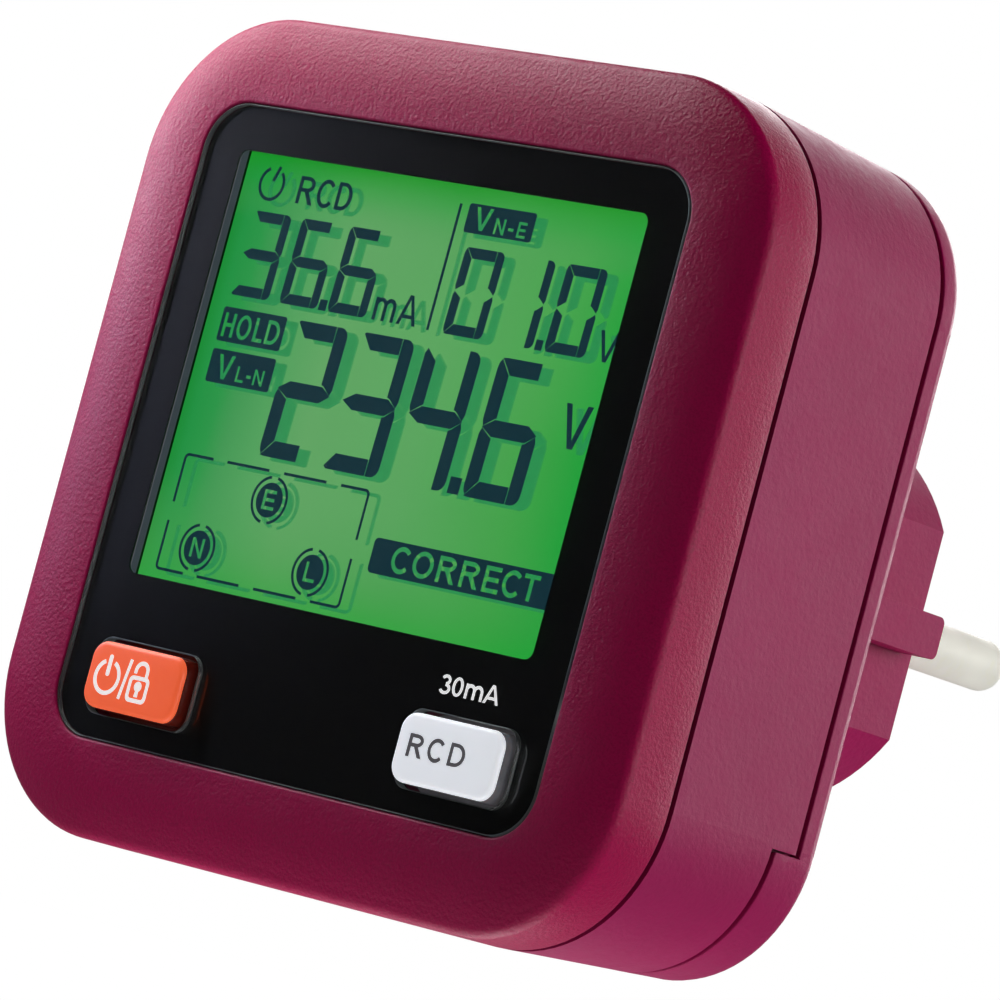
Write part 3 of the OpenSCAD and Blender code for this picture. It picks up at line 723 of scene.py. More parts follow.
def digit(char, left, bottom, width, height, bar, gap):
    """Bars of one figure, with the lower left corner given. The right bars take rounded
    corners; gap parts the bars, and a few bars are cut differently in some figures."""
    half = gap / 2
    mid = height / 2
    low, high = mid - bar / 2, mid + bar / 2
    corner = bar * 0.62
    turn = [(math.sin(math.radians(a)), math.cos(math.radians(a))) for a in (0, 22, 45, 68, 90)]
    inner_left = bar * 1.06 + half
    inner_right = width - bar - half
    top_end = width - bar * 1.12 if char == "6" else inner_right
    foot_end = width - bar * 1.28 if char == "2" else inner_right
    right_bar = width - bar + half
    left_waist, right_waist = bar * 0.92 - half, width - bar * 0.80 + half
    bars = {
        "a": [(0.62 * bar, height), (top_end, height), (top_end, height - bar),
              (inner_left, height - bar), (0.20 * bar + half, height - half)],
        "d": [(0.45 * bar + half, 0), (foot_end, 0), (foot_end, bar), (inner_left, bar),
              (0.12 * bar + half, half * 1.5)],
        "g": [(half * 2.2, mid), (bar * 0.92 + half, high), (width - bar * 0.80 - half, high),
              (width - half * 2.2, mid), (width - bar * 0.80 - half, low),
              (bar * 0.92 + half, low)],
        "b": [(right_bar, height)]
             + [(width - corner + corner * a, height - corner + corner * b) for a, b in turn]
             + [(width, mid + bar * 0.42), (width - bar * 0.13, mid + half * 2.0),
                (right_waist, high + half * 1.6), (right_bar, high + half * 3.4)],
        "c": [(right_bar, 0), (right_bar, low - half * 3.4), (right_waist, low - half * 1.6),
              (width - bar * 0.13, mid - half * 2.0), (width, mid - bar * 0.42)]
             + [(width - corner + corner * b, corner - corner * a) for a, b in turn],
        "f": [(0, mid + bar * 0.42), (bar * 0.13, mid + half * 2.0),
              (left_waist, high + half * 1.6), (bar, high + half * 3.0)],
        "e": [(0, mid - bar * 0.42), (bar * 0.13, mid - half * 2.0),
              (left_waist, low - half * 1.6), (bar, low - half * 3.0),
              (bar, bar + half * 0.6), (0.20 * bar, 0.14 * bar), (0.06 * bar, 0.36 * bar),
              (0, 0.7 * bar)],
    }
    if char == "4":
        bars["f"] += [(bar, height - bar * 0.95), (0.18 * bar, height - 0.25 * bar),
                      (0.02 * bar, height - 0.55 * bar)]
    else:
        bars["f"] += [(bar, height - bar - half * 0.6), (0.22 * bar, height - 0.10 * bar),
                      (0.06 * bar, height - 0.34 * bar), (0, height - 0.7 * bar)]
    if char in "23":
        bars["a"] = [(0.42 * bar, height), (inner_right, height), (inner_right, height - bar),
                     (bar * 1.06, height - bar), (0.30 * bar, height - bar * 0.10)]
    if char == "3":
        bars["d"] = [(0.22 * bar, 0), (inner_right, 0), (inner_right, bar), (bar * 0.72, bar),
                     (0.02 * bar, bar * 0.16)]
        bars["g"][0] = (bar * 0.04, mid)
    return [[(left + x + DIGIT_LEAN * z, bottom + z) for x, z in bars[name]]
            for name in LIT_BARS[char]]


class Artwork:
    """Flat print: solids less their holes, less the cuts, whose own islands stay."""

    def __init__(self):
        self.solids, self.holes, self.cuts, self.islands = [], [], [], []

    def add(self, *outlines):
        self.solids.extend(outlines)

    def label(self, left, bottom, right, top):
        self.add(rounded_rect(right - left, top - bottom, 0.25,
                              (left + right) / 2, (bottom + top) / 2, 4))

    def letters(self, stem, *row, clear=False):
        """row: (character, left, bottom, right, top). clear cuts them out of a solid."""
        targets = (self.cuts, self.islands) if clear else (self.solids, self.holes)
        for char, left, bottom, right, top in row:
            for target, outlines in zip(targets,
                                        glyph(char, right - left, top - bottom, stem)):
                target += [[(x + left, z + bottom) for x, z in points] for points in outlines]

    def digits(self, row, bottom, style):
        """row: (figure, left)."""
        for char, left in row:
            self.add(*digit(char, left, bottom, **style))

    def region(self):
        """Vertices and faces of the printed area."""
        verts, faces, kinds = [], [], []
        for kind, outlines in (("solid", self.solids), ("hole", self.holes),
                               ("cut", self.cuts), ("island", self.islands)):
            for points in outlines:
                area = sum(a[0] * b[1] - b[0] * a[1]
                           for a, b in zip(points, points[1:] + points[:1]))
                if area < 0:
                    points = points[::-1]
                faces.append(list(range(len(verts), len(verts) + len(points))))
                verts += [Vector(point) for point in points]
                kinds.append(kind)
        verts, _, faces, _, _, sources = delaunay_2d_cdt(verts, [], faces, 1, 1e-4, True)
        kept = []
        for face, ids in zip(faces, sources):
            under = {kinds[i] for i in ids}
            printed = "solid" in under and "hole" not in under
            cleared = "cut" in under and "island" not in under
            if printed and not cleared:
                kept.append(face)
        return verts, kept


def raise_region(bm, region, front, back, place=lambda x, z: (x, z)):
    """Thin closed solid from a flat region between two depths; place moves its points."""
    verts, faces = region
    solid = bmesh.new()
    made = {}
    for face in faces:
        for i in face:
            if i not in made:
                x, z = place(verts[i][0], verts[i][1])
                made[i] = solid.verts.new((x * MM, y_at(front), z * MM))
        try:
            solid.faces.new([made[i] for i in face])
        except ValueError:
            # guards against a repeated or degenerate face, which is left out
            pass
    extruded = bmesh.ops.extrude_face_region(solid, geom=list(solid.faces))
    for item in extruded["geom"]:
        if isinstance(item, bmesh.types.BMVert):
            item.co.y = y_at(back)
    append_mesh(bm, solid)


# ------------------------------------------------------------------ front bezel

BEZEL_RADIUS = 14.2
SEAM_DEPTH = 7.25              # back edge of the outer wall; a narrower lip goes on behind
FLOOR_FRONT, FLOOR_BACK = 1.2, 2.9
SEAT_W, SEAT_H = LENS.width + 0.2, LENS.height + 0.2
SEAT_RADIUS = 4.5
SEAT_ROUND = 0.28              # small front radius of the lens seat
FACE_LEAD = 0.05               # depth at which the crowned face starts
ROLL_WIDTH, ROLL_DROP, ROLL_START = 0.95, 1.05, 18    # outer edge; its start in degrees
BEZEL_STEPS = 24


def bezel_loops():
    """Loops of the surround from the lens seat outwards and back, and the lip's first."""
    seat_cx, seat_cz = LENS.centre
    bezel_cx, bezel_cz = BEZEL.centre
    span = (BEZEL.width - SEAT_W) / 2

    def crown(t, depth):
        """t runs from 0 at the lens edge to 1 at the outer edge."""
        return rounded_rect(SEAT_W + (BEZEL.width - SEAT_W) * t,
                            SEAT_H + (BEZEL.height - SEAT_H) * t,
                            SEAT_RADIUS + (BEZEL_RADIUS - SEAT_RADIUS) * t,
                            seat_cx + (bezel_cx - seat_cx) * t,
                            seat_cz + (bezel_cz - seat_cz) * t, BEZEL_STEPS), depth

    def face_depth(run):
        """Depth of the crowned face at a distance from the lens edge."""
        return FACE_LEAD + 1.22 * (max(0, run - 0.5) / 7.3) ** 2.5

    loops = [crown(0, FLOOR_FRONT), crown(0, 0.30)]
    for degrees in (15, 35, 55, 75, 90):
        angle = math.radians(degrees)
        loops.append(crown(SEAT_ROUND * (1 - math.cos(angle)) / span,
                           FACE_LEAD + SEAT_ROUND * (1 - math.sin(angle))))
    # crowned face
    face_start, face_end = 0.6, span - ROLL_WIDTH
    for k in range(1, 15):
        run = face_start + (face_end - face_start) * k / 14
        loops.append(crown(run / span, face_depth(run)))
    # rolled outer edge
    start = math.radians(ROLL_START)
    for k in range(1, 8):
        angle = math.radians(ROLL_START + (90 - ROLL_START) * k / 7)
        part = (math.sin(angle) - math.sin(start)) / (1 - math.sin(start))
        loops.append(crown(min(1, (face_end + ROLL_WIDTH * part) / span),
                           face_depth(face_end)
                           + ROLL_DROP * (math.cos(start) - math.cos(angle))))

    def wall(stations):
        """stations: (inset from the outer wall, depth)."""
        loops.extend(rect_loops(
            [(BEZEL.width - 2 * inset, BEZEL.height - 2 * inset, BEZEL_RADIUS - inset, depth)
             for inset, depth in stations], BEZEL.centre, BEZEL_STEPS))

    wall(((0, (loops[-1][1] + SEAM_DEPTH) / 2), (0, SEAM_DEPTH - 0.22),
          (0.03, SEAM_DEPTH - 0.10), (0.10, SEAM_DEPTH - 0.03), (0.22, SEAM_DEPTH),
          (1.15, SEAM_DEPTH)))
    lip_start = len(loops) - 1
    wall(((1.2, SEAM_DEPTH + 0.05), (1.2, BEZEL.back - 0.15), (1.35, BEZEL.back),
          (2.05, BEZEL.back), (2.2, BEZEL.back - 0.15), (2.2, FLOOR_BACK)))
    # back of the floor, in to the lens seat
    loops.append(crown(0, FLOOR_BACK))
    return loops, lip_start


def bezel_floor():
    """Floor under the lens, with the window and key openings."""
    display_glass = node_box("lcd_glass")
    holes = [rounded_rect(display_glass.width + 0.6, display_glass.height + 0.6, 0.8,
                          *display_glass.centre, 4)]
    holes += [rounded_rect(12.5, 6.9, 1.6, *key.centre, 6) for key in KEYS.values()]
    outline = rounded_rect(SEAT_W - 0.02, SEAT_H - 0.02, SEAT_RADIUS, *LENS.centre, 12)
    return plate_mesh(outline, holes, FLOOR_FRONT, FLOOR_BACK)


# x, middle z, z from the middle, outer radius, bore radius, end depth
BEZEL_POSTS = (
    (28.5, BEZEL.centre[1], 28.6, 2.9, 1.5, 7.65),    # screw bosses
    (31.4, 0, 12.0, 2.2, 0.95, 7.0),                  # board posts
)
BORE_DEPTH = 3.6


def bezel_posts(bm):
    for post_x, mid_z, post_z, outer, bore, end in BEZEL_POSTS:
        profile = [(bore, BORE_DEPTH), (bore, end - 0.15), (bore + 0.15, end),
                   (outer - 0.15, end), (outer, end - 0.15), (outer + 0.12, FLOOR_BACK),
                   (0.01, FLOOR_BACK), (0.01, BORE_DEPTH)]
        for i in (-1, 1):
            for j in (-1, 1):
                x, z = i * post_x, mid_z + j * post_z
                loft(bm, [(disc(x, z, radius, 28), depth) for radius, depth in profile],
                     closed=True, second_from=0)


def bezel():
    bm = bmesh.new()
    loops, lip_start = bezel_loops()
    loft(bm, loops, closed=True, second_from=lip_start)
    append_mesh(bm, bezel_floor(), 1)
    bezel_posts(bm)
    make_piece("bezel_shell", bm, ["case_front", "case"],
               replaces="front_bezel")


bezel()

# ------------------------------------------------------------------ lens, black print


def key_holes():
    return [rounded_rect(KEY_W + KEY_PLAY, KEY_H + KEY_PLAY, 1.5, *key.centre, 8)
            for key in KEYS.values()]


def lens_pane():
    """Clear pane; all but its two broad faces have the rougher edge look."""
    bm = plate_mesh(rounded_rect(LENS.width, LENS.height, 4.4, *LENS.centre, 16),
                    key_holes(), LENS.front, LENS.back, bevel=0.07)
    bm.normal_update()
    for face in bm.faces:
        face.material_index = 0 if abs(face.normal.y) > 0.999 else 1
    make_piece("lens_pane", bm, ["lens", "lens_edge"],
               replaces="display_lens", flat=True)


def lens_print():
    film = node_box("lens_mask_film")
    window = rounded_rect(48.1, 38.2, 0.9, -0.3, 5.75, 8)
    outline = rounded_rect(LENS.width - 0.3, LENS.height - 0.3, 4.25, *LENS.centre, 12)
    make_piece("lens_print",
               plate_mesh(outline, [window] + key_holes(), film.front + 0.02, film.back),
               ["film"], replaces="lens_mask_film", flat=True)


lens_pane()
lens_print()

# ------------------------------------------------------------------ display


def backlight():
    """Light guide with four posts on its back."""
    bm = bmesh.new()
    width, height = BACKLIGHT.width, BACKLIGHT.height
    cx, cz = BACKLIGHT.centre
    back = 6.1
    loft(bm, rect_loops((
        (width - 0.3, height - 0.3, 0.4, LIT_DEPTH + 0.02),
        (width, height, 0.5, LIT_DEPTH + 0.17),
        (width, height, 0.5, back - 0.15),
        (width - 0.3, height - 0.3, 0.4, back)), (cx, cz), 3), ends=True)
    for i in (-1, 1):
        for j in (-1, 1):
            loft(bm, [(disc(cx + i * 20, cz + j * 15, radius, 20), depth)
                      for radius, depth in ((1.0, back + 0.002), (1.0, 6.9), (0.9, 7.0))],
                 ends=True)
    make_piece("backlight_guide", bm, ["lit"], replaces="lcd_backlight")


backlight()

# The display is drawn in millimetres as it is seen on the front plane.


def upper_row(art):
    """Residual current on the left of a divider, neutral to earth voltage on the right."""
    # power symbol and residual current label
    art.add(stroke(arc(-19.06, 22.17, 1.40, 114, 408, 34), 0.29),
            stroke([(-18.48, 23.75), (-18.98, 22.42)], 0.32))
    art.letters(0.38, ("R", -15.75, 20.83, -13.75, 23.28), ("C", -13.42, 20.80, -11.42, 23.31),
                ("D", -11.08, 20.83, -9.28, 23.28))
    art.digits((("3", -20.39), ("6", -14.50), ("6", -8.67)), 12.05, SMALL_DIGIT)
    art.add([(-9.74, 12.05), (-8.86, 12.05), (-8.84, 13.0), (-9.72, 13.0)])
    art.letters(0.36, ("m", -3.33, 12.06, -0.83, 14.05), ("A", -0.45, 12.06, 1.78, 14.68))
    # divider
    art.add([(3.17, 12.0), (3.45, 12.0), (3.50, 23.1), (3.22, 23.1)])
    art.label(4.38, 20.74, 12.12, 23.28)
    art.letters(0.40, ("V", 5.28, 21.05, 7.25, 23.05), clear=True)
    art.letters(0.27, ("N", 7.72, 20.97, 8.93, 22.36), ("-", 9.31, 21.42, 9.96, 21.68),
                ("E", 10.36, 20.97, 11.39, 22.36), clear=True)
    art.digits((("0", 5.03), ("1", 10.83), ("0", 16.75)), 11.96, SMALL_DIGIT)
    art.add([(15.68, 11.96), (16.46, 11.96), (16.48, 12.85), (15.70, 12.85)])
    art.letters(0.36, ("V", 22.42, 11.94, 24.66, 14.58))


def main_row(art):
    """Two labels on the left and the large voltage reading."""
    art.label(-20.69, 7.89, -12.97, 10.94)
    art.letters(0.38, ("H", -20.33, 8.31, -18.92, 10.44), ("O", -18.62, 8.27, -16.90, 10.48),
                ("L", -16.50, 8.31, -15.30, 10.44), ("D", -15.05, 8.31, -13.42, 10.44),
                clear=True)
    art.label(-20.69, 4.22, -12.97, 7.19)
    art.letters(0.42, ("V", -19.72, 4.61, -17.75, 6.78), clear=True)
    art.letters(0.27, ("L", -17.22, 4.61, -16.22, 6.0), ("-", -15.96, 5.08, -15.40, 5.36),
                ("N", -15.11, 4.61, -13.89, 6.0), clear=True)
    art.digits((("2", -12.19), ("3", -4.33), ("4", 3.47), ("6", 11.97)), -1.19, MAIN_DIGIT)
    art.add([(10.31, -1.19), (11.60, -1.19), (11.63, 0.25), (10.34, 0.25)])
    art.letters(0.56, ("V", 20.83, 4.33, 23.83, 8.11))


def wiring_picture(art):
    """Broken frame with three lettered contacts."""
    left, right, bottom, top, line = -20.53, 1.69, -12.53, -2.33, 0.25
    for start, end in ((-15.44, -10.33), (-8.53, -3.44)):
        for z in (top, bottom):
            art.add(stroke([(start, z), (end, z)], line))
    radius = 0.42
    for x, sx in ((left, 1), (right, -1)):
        for z, sz in ((top, -1), (bottom, 1)):
            corner = [(x + sx * radius * (1 - math.cos(math.radians(15 * k))),
                       z + sz * radius * (1 - math.sin(math.radians(15 * k))))
                      for k in range(7)]
            art.add(stroke([(x, z + sz * 4.27)] + corner + [(x + sx * 3.36, z)], line))
    for x, z, letter in ((-9.42, -4.81, ("E", -10.17, -5.67, -8.69, -3.93)),
                         (-16.31, -10.11, ("N", -17.06, -10.97, -15.56, -9.25)),
                         (-2.56, -10.11, ("L", -3.22, -10.97, -1.86, -9.25))):
        art.add(disc(x, z, 1.53), stroke(arc(x, z, 2.0, 101, 259, 22), line),
                stroke(arc(x, z, 2.0, -79, 79, 22), line))
        art.letters(0.33, letter, clear=True)


def result_label(art):
    """Label that is cut off by the right edge of the window."""
    art.add(arc(4.25, -6.47, 0.45, 180, 90, 5) + [(25.8, -6.02), (25.8, -9.07)]
            + arc(4.25, -8.62, 0.45, 270, 180, 5))
    for char, left, right in (("C", 6.19, 8.36), ("O", 8.66, 11.06), ("R", 11.55, 13.72),
                              ("R", 14.22, 16.39), ("E", 16.86, 18.72), ("C", 18.98, 21.10),
                              ("T", 21.25, 23.05)):
        overshoot = 0.03 if char in "CO" else 0
        art.letters(0.43, (char, left, -8.66 - overshoot, right, -6.40 + overshoot),
                    clear=True)


def display():
    art = Artwork()
    for part in (upper_row, main_row, wiring_picture, result_label):
        part(art)
    shape = art.region()

    def at_segments(x, z):
        return seen(x, z, SEGMENT_DEPTH)

    segments, shadow = bmesh.new(), bmesh.new()
    raise_region(segments, shape, SEGMENT_DEPTH, SEGMENT_DEPTH + 0.03, at_segments)
    # the shade falls nearly straight back on to the light guide, a little low, in three
    # layers set slightly apart
    for k in (-1, 0, 1):
        def at_shadow(x, z):
            x, z = at_segments(x, z)
            return x + 0.14 * k, z - 0.14 + 0.05 * k

        step = 0.03 * (k + 1)
        raise_region(shadow, shape, LIT_DEPTH - 0.04 - step, LIT_DEPTH - 0.02 - step,
                     at_shadow)
    make_piece("display_segments", segments, ["segment"],
               replaces="lcd_glass", flat=True)
    make_piece("display_shade", shadow, ["ghost"],
               replaces="lcd_polarizers", flat=True)


display()


def blind_edge():
    """Grey margin of the display glass, outside the backlit area, in view along the left side
    of the window. Its grey is painted light, an even glow that holds a painted reflection veil,
    and the thin lighter line is a painted glint on the glass edge.
    """
    bottom, top = -13.6, 24.9
    for name, left, right, look, depth in (
            ("display_margin", -24.10, -22.74, "blind", SEGMENT_DEPTH + 0.01),
            # the lighter line is a painted glint on the glass edge
            ("display_edge_glint", -23.72, -23.54, "painted_edge_glint", SEGMENT_DEPTH - 0.03)):
        bm = bmesh.new()
        (x0, z0), (x1, z1) = seen(left, bottom, depth), seen(right, top, depth)
        size = (x1 - x0, z1 - z0, 0.05)
        loft(bm, rect_loops(((*size, depth), (*size, depth + 0.02)),
                            ((x0 + x1) / 2, (z0 + z1) / 2), 2), ends=True)
        make_piece(name, bm, [look], flat=True)


blind_edge()


def trip_legend():
    """Legend above the trip test key, printed on the back of the lens."""
    art = Artwork()
    art.letters(0.27, ("3", 15.22, -17.63, 16.42, -15.98), ("0", 16.60, -17.63, 17.80, -15.98),
                ("m", 18.10, -17.60, 20.10, -16.34), ("A", 20.24, -17.60, 21.98, -16.0))
    bm = bmesh.new()
    front = LENS.back - 0.06
    raise_region(bm, art.region(), front, LENS.back - 0.02,
                 lambda x, z: seen(x, z, front, in_lens=True))
    make_piece("trip_current_legend", bm, ["white_print"], flat=True)


trip_legend()

# ------------------------------------------------------------------ keys

KEY_EDGE = 0.46      # radius of the rolled edge of a key cap


def key_cap(node, name, looks, body, width, height):
    """Soft dome and rolled edge with a printed skin, over a translucent body that widens
    a little to its base and has a flange."""
    key = KEYS[node]
    top = key.front
    stations = [((width - 0.9) * s, (height - 0.9) * s, max(0.3, 1.1 * s), top + 0.05 * s * s)
                for s in (0.30, 0.6, 0.85)]
    for degrees in range(0, 91, 15):
        angle = math.radians(degrees)
        inset = KEY_EDGE * (1 - math.sin(angle))
        stations.append((width - 2 * inset, height - 2 * inset, 1.5 - inset * 0.9,
                         top + 0.06 + KEY_EDGE * (1 - math.cos(angle))))
    body_start = len(stations)
    stations += [
        (width + 0.02, height + 0.02, 1.5, top + 0.58),
        (width - 0.06, height - 0.06, 1.46, top + 0.61),
        (width - 0.06, height - 0.06, 1.46, top + 0.66),
        (width + 0.06, height + 0.06, 1.5, top + 0.70),
        (KEY_W + 0.04, KEY_H + 0.04, 1.4, 0.4),
        (KEY_W + 0.04, KEY_H + 0.04, 1.3, 3.0),
        (14.2, 8.6, 1.8, 3.0),
        (14.2, 8.6, 1.8, 3.8),
        (KEY_W, KEY_H, 1.3, 3.8),
        (KEY_W, KEY_H, 1.3, 5.25),
        (KEY_W - 0.3, KEY_H - 0.3, 1.15, 5.4),
    ]
    bm = bmesh.new()
    loft(bm, rect_loops(stations, key.centre, 8), ends=True, second_from=body_start)
    make_piece(name, bm, looks, body, angle=40, replaces=node)


key_cap("power_key", "power_key_cap", ["orange", "orange_side"], "power_button",
        width=11.3, height=5.85)
key_cap("rcd_key", "trip_key_cap", ["grey", "grey_side"], "rcd_button",
        width=11.6, height=5.95)


def collapse_dome(node, name):
    """Silicone skirt under a key."""
    box = node_box(node)
    # inset of each outer loop, and its depth
    outer = ((0.0, box.front), (0.0, box.front + 0.5), (0.12, (box.front + box.back) / 2),
             (0.0, box.back - 0.5), (0.0, box.back))
    stations = [(box.width - 2 * inset, box.height - 2 * inset, 1.8 - inset, depth)
                for inset, depth in outer]
    stations += [(box.width - 1.0, box.height - 1.0, 1.3, depth)
                 for depth in (box.back, box.front)]
    bm = bmesh.new()
    loft(bm, rect_loops(stations, box.centre, 6), closed=True)
    ob = make_piece(name, bm, ["silicone"], angle=40, replaces=node)
    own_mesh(ob)


collapse_dome("power_dome", "power_key_dome")
collapse_dome("rcd_dome", "trip_key_dome")


def power_marks():
    """Power symbol, slash and padlock."""
    art = Artwork()
    art.add(stroke(arc(-21.55, -22.74, 1.42, 114, 426, 34), 0.37),
            rounded_rect(0.44, 1.90, 0.2, -21.59, -21.72, 4),
            stroke([(-19.59, -24.38), (-19.08, -20.80)], 0.33))
    # padlock: body outline, open shackle and keyhole
    cx, cz = -17.58, -23.24
    shackle = 0.70
    art.add(rounded_rect(2.48, 2.34, 0.52, cx, cz, 6),
            stroke([(cx - shackle, -21.90)] + arc(cx, -21.62, shackle, 180, 0, 16)
                   + [(cx + shackle, -22.30)], 0.36))
    art.cuts.append(rounded_rect(1.76, 1.62, 0.24, cx, cz, 5))
    art.islands += [disc(cx - 0.02, -22.98, 0.45, 20),
                    [(cx - 0.17, -23.1), (cx + 0.13, -23.1), (cx + 0.21, -23.90),
                     (cx - 0.25, -23.90)]]
    return art


def trip_marks():
    art = Artwork()
    art.letters(0.36, ("R", 14.59, -23.38, 16.38, -21.41), ("C", 16.88, -23.41, 18.72, -21.38),
                ("D", 19.30, -23.38, 21.10, -21.41))
    return art


def key_print(name, art, look, body):
    front = KEYS["power_key"].front
    bm = bmesh.new()
    raise_region(bm, art.region(), front, front + 0.09)
    make_piece(name, bm, [look], body, flat=True)


key_print("power_key_marks", power_marks(), "key_white", "power_button")
key_print("trip_key_marks", trip_marks(), "key_dark", "rcd_button")

# ------------------------------------------------------------------ plug pins

# radius, Y (mm) of the pin's profile from its inner end; Y = 0 is the frame's origin
PIN_PROFILE = (
    (2.05, -12.4), (2.2, -12.25), (2.2, -4.05), (3.3, -4.0), (3.4, -3.9), (3.4, -2.7),
    (3.3, -2.6), (2.6, -2.6), (2.6, -0.06), (2.54, 0.0), (2.4, 0.0), (2.4, 4.0), (2.4, 8.0),
    (2.4, 12.0))


def pin(node, name):
    """Turned pin with a rounded tip and a flat solder tag at its inner end."""
    box = node_box(node)
    cx, cz = box.centre
    tip = box.back - ORIGIN_DEPTH
    profile = list(PIN_PROFILE) + [(2.4, tip - 1.9)]
    for k in range(10):
        angle = math.radians(90 * k / 9)
        profile.append((0.65 + 1.75 * math.cos(angle), tip - 1.75 + 1.75 * math.sin(angle)))
    profile.append((0.3, tip))
    bm = bmesh.new()
    loft(bm, [(disc(cx, cz, radius, 56), y + ORIGIN_DEPTH) for radius, y in profile],
         ends=True)
    tag = bmesh.new()
    bmesh.ops.create_cube(tag, size=1.0)
    for v in tag.verts:
        v.co = Vector((cx + v.co.x * 2.6, -13.7 + v.co.y * 3.0, cz + v.co.z * 1.0)) * MM
    bmesh.ops.bevel(tag, geom=tag.edges, offset=0.12 * MM, segments=2, affect="EDGES",
                    profile=0.5)
    append_mesh(bm, tag)
    make_piece(name, bm, ["pin"], angle=32, replaces=node)


pin("left_pin", "left_pin_metal")
pin("right_pin", "right_pin_metal")

# ------------------------------------------------------------------ carried-over CAD nodes

NODE_LOOKS = {
    "mid_housing": "case", "rear_cover": "case", "lcd_frame": "black_mould",
    "backlight_leds": "led", "zebra_strip": "zebra", "power_pill": "carbon",
    "rcd_pill": "carbon", "keypad_mat": "silicone", "key_contacts": "gold",
    "main_pcb": "board", "mcu_chip": "black_mould", "signal_chips": "black_mould",
    "crystal": "steel", "board_header": "black_mould", "pcb_screws": "steel",
    "power_pcb": "board", "load_resistors": "resistor", "relay": "relay",
    "fuse": "black_mould", "varistor": "varistor", "film_capacitor": "film_case",
    "power_pcb_screws": "steel", "housing_screws": "steel", "battery_cells": "cell",
    "battery_springs": "nickel", "battery_contacts": "nickel", "battery_leads": "red",
    "cover_screw": "steel", "cover_insert": "brass", "pin_holder": "holder",
    "earth_bracket": "nickel", "left_wire": "brown", "right_wire": "blue",
    "earth_wire": "green",
}
# edge radius in mm
NODE_BEVELS = {
    "mid_housing": 0.30, "rear_cover": 0.12, "earth_bracket": 0.12, "pin_holder": 0.2,
    "relay": 0.3, "fuse": 0.25, "film_capacitor": 0.3, "lcd_frame": 0.1, "main_pcb": 0.06,
    "power_pcb": 0.06, "mcu_chip": 0.08, "signal_chips": 0.08, "cover_screw": 0.1,
    "housing_screws": 0.1, "battery_contacts": 0.08, "board_header": 0.08,
}


def round_edges(ob, radius):
    weld = ob.modifiers.new("weld", "WELD")
    weld.merge_threshold = 2e-6
    bevel = ob.modifiers.new("edge_radius", "BEVEL")
    bevel.width = radius * MM
    bevel.segments = 2
    bevel.limit_method = "ANGLE"
    bevel.angle_limit = math.radians(50)
    bevel.use_clamp_overlap = True
    bevel.harden_normals = False
    normals = ob.modifiers.new("flat_faces", "WEIGHTED_NORMAL")
    normals.keep_sharp = True


def dress_nodes():
    for node, look in NODE_LOOKS.items():
        ob = frame["nodes"][node]
        if len(ob.material_slots) == 0:
            ob.data.materials.append(LOOKS[look])
        for slot in ob.material_slots:
            slot.link = "OBJECT"
            slot.material = LOOKS[look]
        if node in NODE_BEVELS:
            round_edges(ob, NODE_BEVELS[node])


dress_nodes()

# ------------------------------------------------------------------ lights

# small softboxes close to the upper left of the display side:
# centre (mm, in the frame's own X, Y and Z), side (mm), radiance, colour
SOFTBOXES = (
    ((-119, -96, 20), 60, 2.5, (0.86, 0.92, 1.3)),
    ((-193, -147, 100), 100, 0.83, (0.9, 0.94, 1.08)),
    ((-72, -80, 94), 78, 4.6, (1, 1, 1)),
    ((-100, -74, 45), 50, 3.4, (1, 1, 1)),
    ((-95, -72, 85), 50, 0.6, (1, 1, 1)),
)
SOFTBOX_AIM = Vector((-0.02, FRONT_Y, 0.01))
BOUNCE_AIM = Vector((0.004, FRONT_Y + 0.014, 0))


def area_light(name, centre, aim, side, radiance, color=(1, 1, 1)):
    """Square light that faces its aim and is hidden from the camera; metres."""
    light = bpy.data.lights.new(name, "AREA")
    light.energy = radiance * math.pi * side ** 2
    light.color = color
    light.size = side
    ob = bpy.data.objects.new(name, light)
    bpy.context.scene.collection.objects.link(ob)
    offset = centre - aim
    direction = offset.normalized()
    ob.location = aim + direction * offset.length
    ob.rotation_euler = (-direction).to_track_quat("-Z", "Y").to_euler()
    ob.visible_camera = False


for i, (centre, side, radiance, color) in enumerate(SOFTBOXES):
    area_light("softbox_%d" % i, Vector(centre) * MM, SOFTBOX_AIM, side * MM, radiance, color)
# light thrown up from below
area_light("table_bounce", BOUNCE_AIM - Vector((0, 0, 0.088)), BOUNCE_AIM, side=0.060,
           radiance=2.6)

# ------------------------------------------------------------------ world and floor

# direction and strength of each soft glow
GLOWS = (((1.0, 0.0, 0.0), 4.6), ((0.866, 0.5, 0.0), 1.86), ((0.0, 1.0, 0.0), 4.2),
         ((-0.5, 0.866, 0.0), 12.6))
GLOW_FOCUS = 14.0


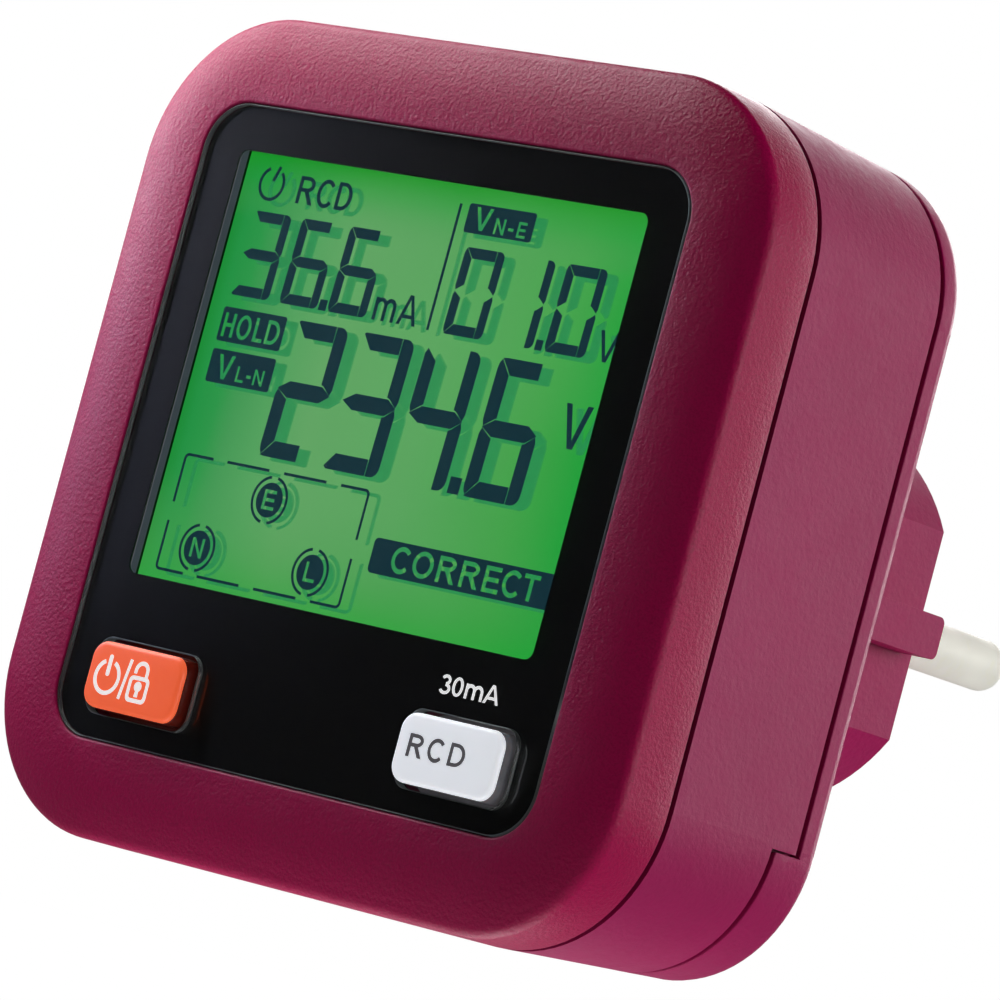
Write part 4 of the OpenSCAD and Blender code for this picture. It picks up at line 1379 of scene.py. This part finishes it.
def world():
    """Bright cloth behind and to the right, dark in front, plain white to the camera."""
    studio = bpy.data.worlds.new("studio")
    bpy.context.scene.world = studio
    n = ShaderTree(studio, "ShaderNodeOutputWorld")
    direction = n.add("ShaderNodeTexCoord").outputs["Generated"]
    total = 0.0
    for towards, strength in GLOWS:
        dot = n.add("ShaderNodeVectorMath", {0: direction, 1: towards},
                    operation="DOT_PRODUCT").outputs["Value"]
        glow = n.math("POWER", n.math("MAXIMUM", dot, 0.0), GLOW_FOCUS)
        total = n.math("ADD", total, n.math("MULTIPLY", glow, strength))
    cloth, white = [n.add("ShaderNodeBackground", {"Color": (1, 1, 1, 1),
                                                   "Strength": strength}).outputs[0]
                    for strength in (total, 1.0)]
    to_camera = n.add("ShaderNodeLightPath").outputs["Is Camera Ray"]
    n.link(n.mix_shader(to_camera, cloth, white), n.out.inputs["Surface"])


def pale_floor():
    """Grey to the light, near white to the camera, clear from below."""
    n = Material("pale_floor")
    backfacing = n.add("ShaderNodeNewGeometry").outputs["Backfacing"]
    to_camera = n.add("ShaderNodeLightPath").outputs["Is Camera Ray"]
    color = n.mottle(n.noise(300, detail=2, rough=0.5), (0.3, 0.7),
                     [0.44, 0.44, 0.44, 1], [0.46, 0.46, 0.46, 1])
    diffuse = n.add("ShaderNodeBsdfDiffuse", {"Color": color}).outputs[0]
    glow = n.add("ShaderNodeEmission", {"Strength": 1.12}).outputs[0]
    to_eye = n.mix_shader(0.12, glow, diffuse)
    above = n.mix_shader(to_camera, diffuse, to_eye)
    clear = n.add("ShaderNodeBsdfTransparent").outputs[0]
    n.link(n.mix_shader(backfacing, above, clear), n.out.inputs["Surface"])
    return n.mat


FLOOR_DROP = 0.065      # below the bezel's lower edge
FLOOR_SIDE = 12
FLOOR_CELLS = 16


def floor():
    """Plain pale floor well below the plug, seen only from above."""
    mat = pale_floor()
    bm = bmesh.new()
    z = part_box("front_bezel")[0][2] - FLOOR_DROP
    ticks = [-FLOOR_SIDE / 2 + FLOOR_SIDE * i / FLOOR_CELLS for i in range(FLOOR_CELLS + 1)]
    grid = [[bm.verts.new((x, y, z)) for y in ticks] for x in ticks]
    for i in range(FLOOR_CELLS):
        for j in range(FLOOR_CELLS):
            bm.faces.new((grid[i][j], grid[i + 1][j], grid[i + 1][j + 1], grid[i][j + 1]))
    me = bpy.data.meshes.new("floor")
    bm.to_mesh(me)
    bm.free()
    me.materials.append(mat)
    ob = bpy.data.objects.new("floor", me)
    bpy.context.scene.collection.objects.link(ob)


world()
floor()
bpy.context.scene.view_settings.view_transform = "Standard"
bpy.context.scene.view_settings.look = "None"
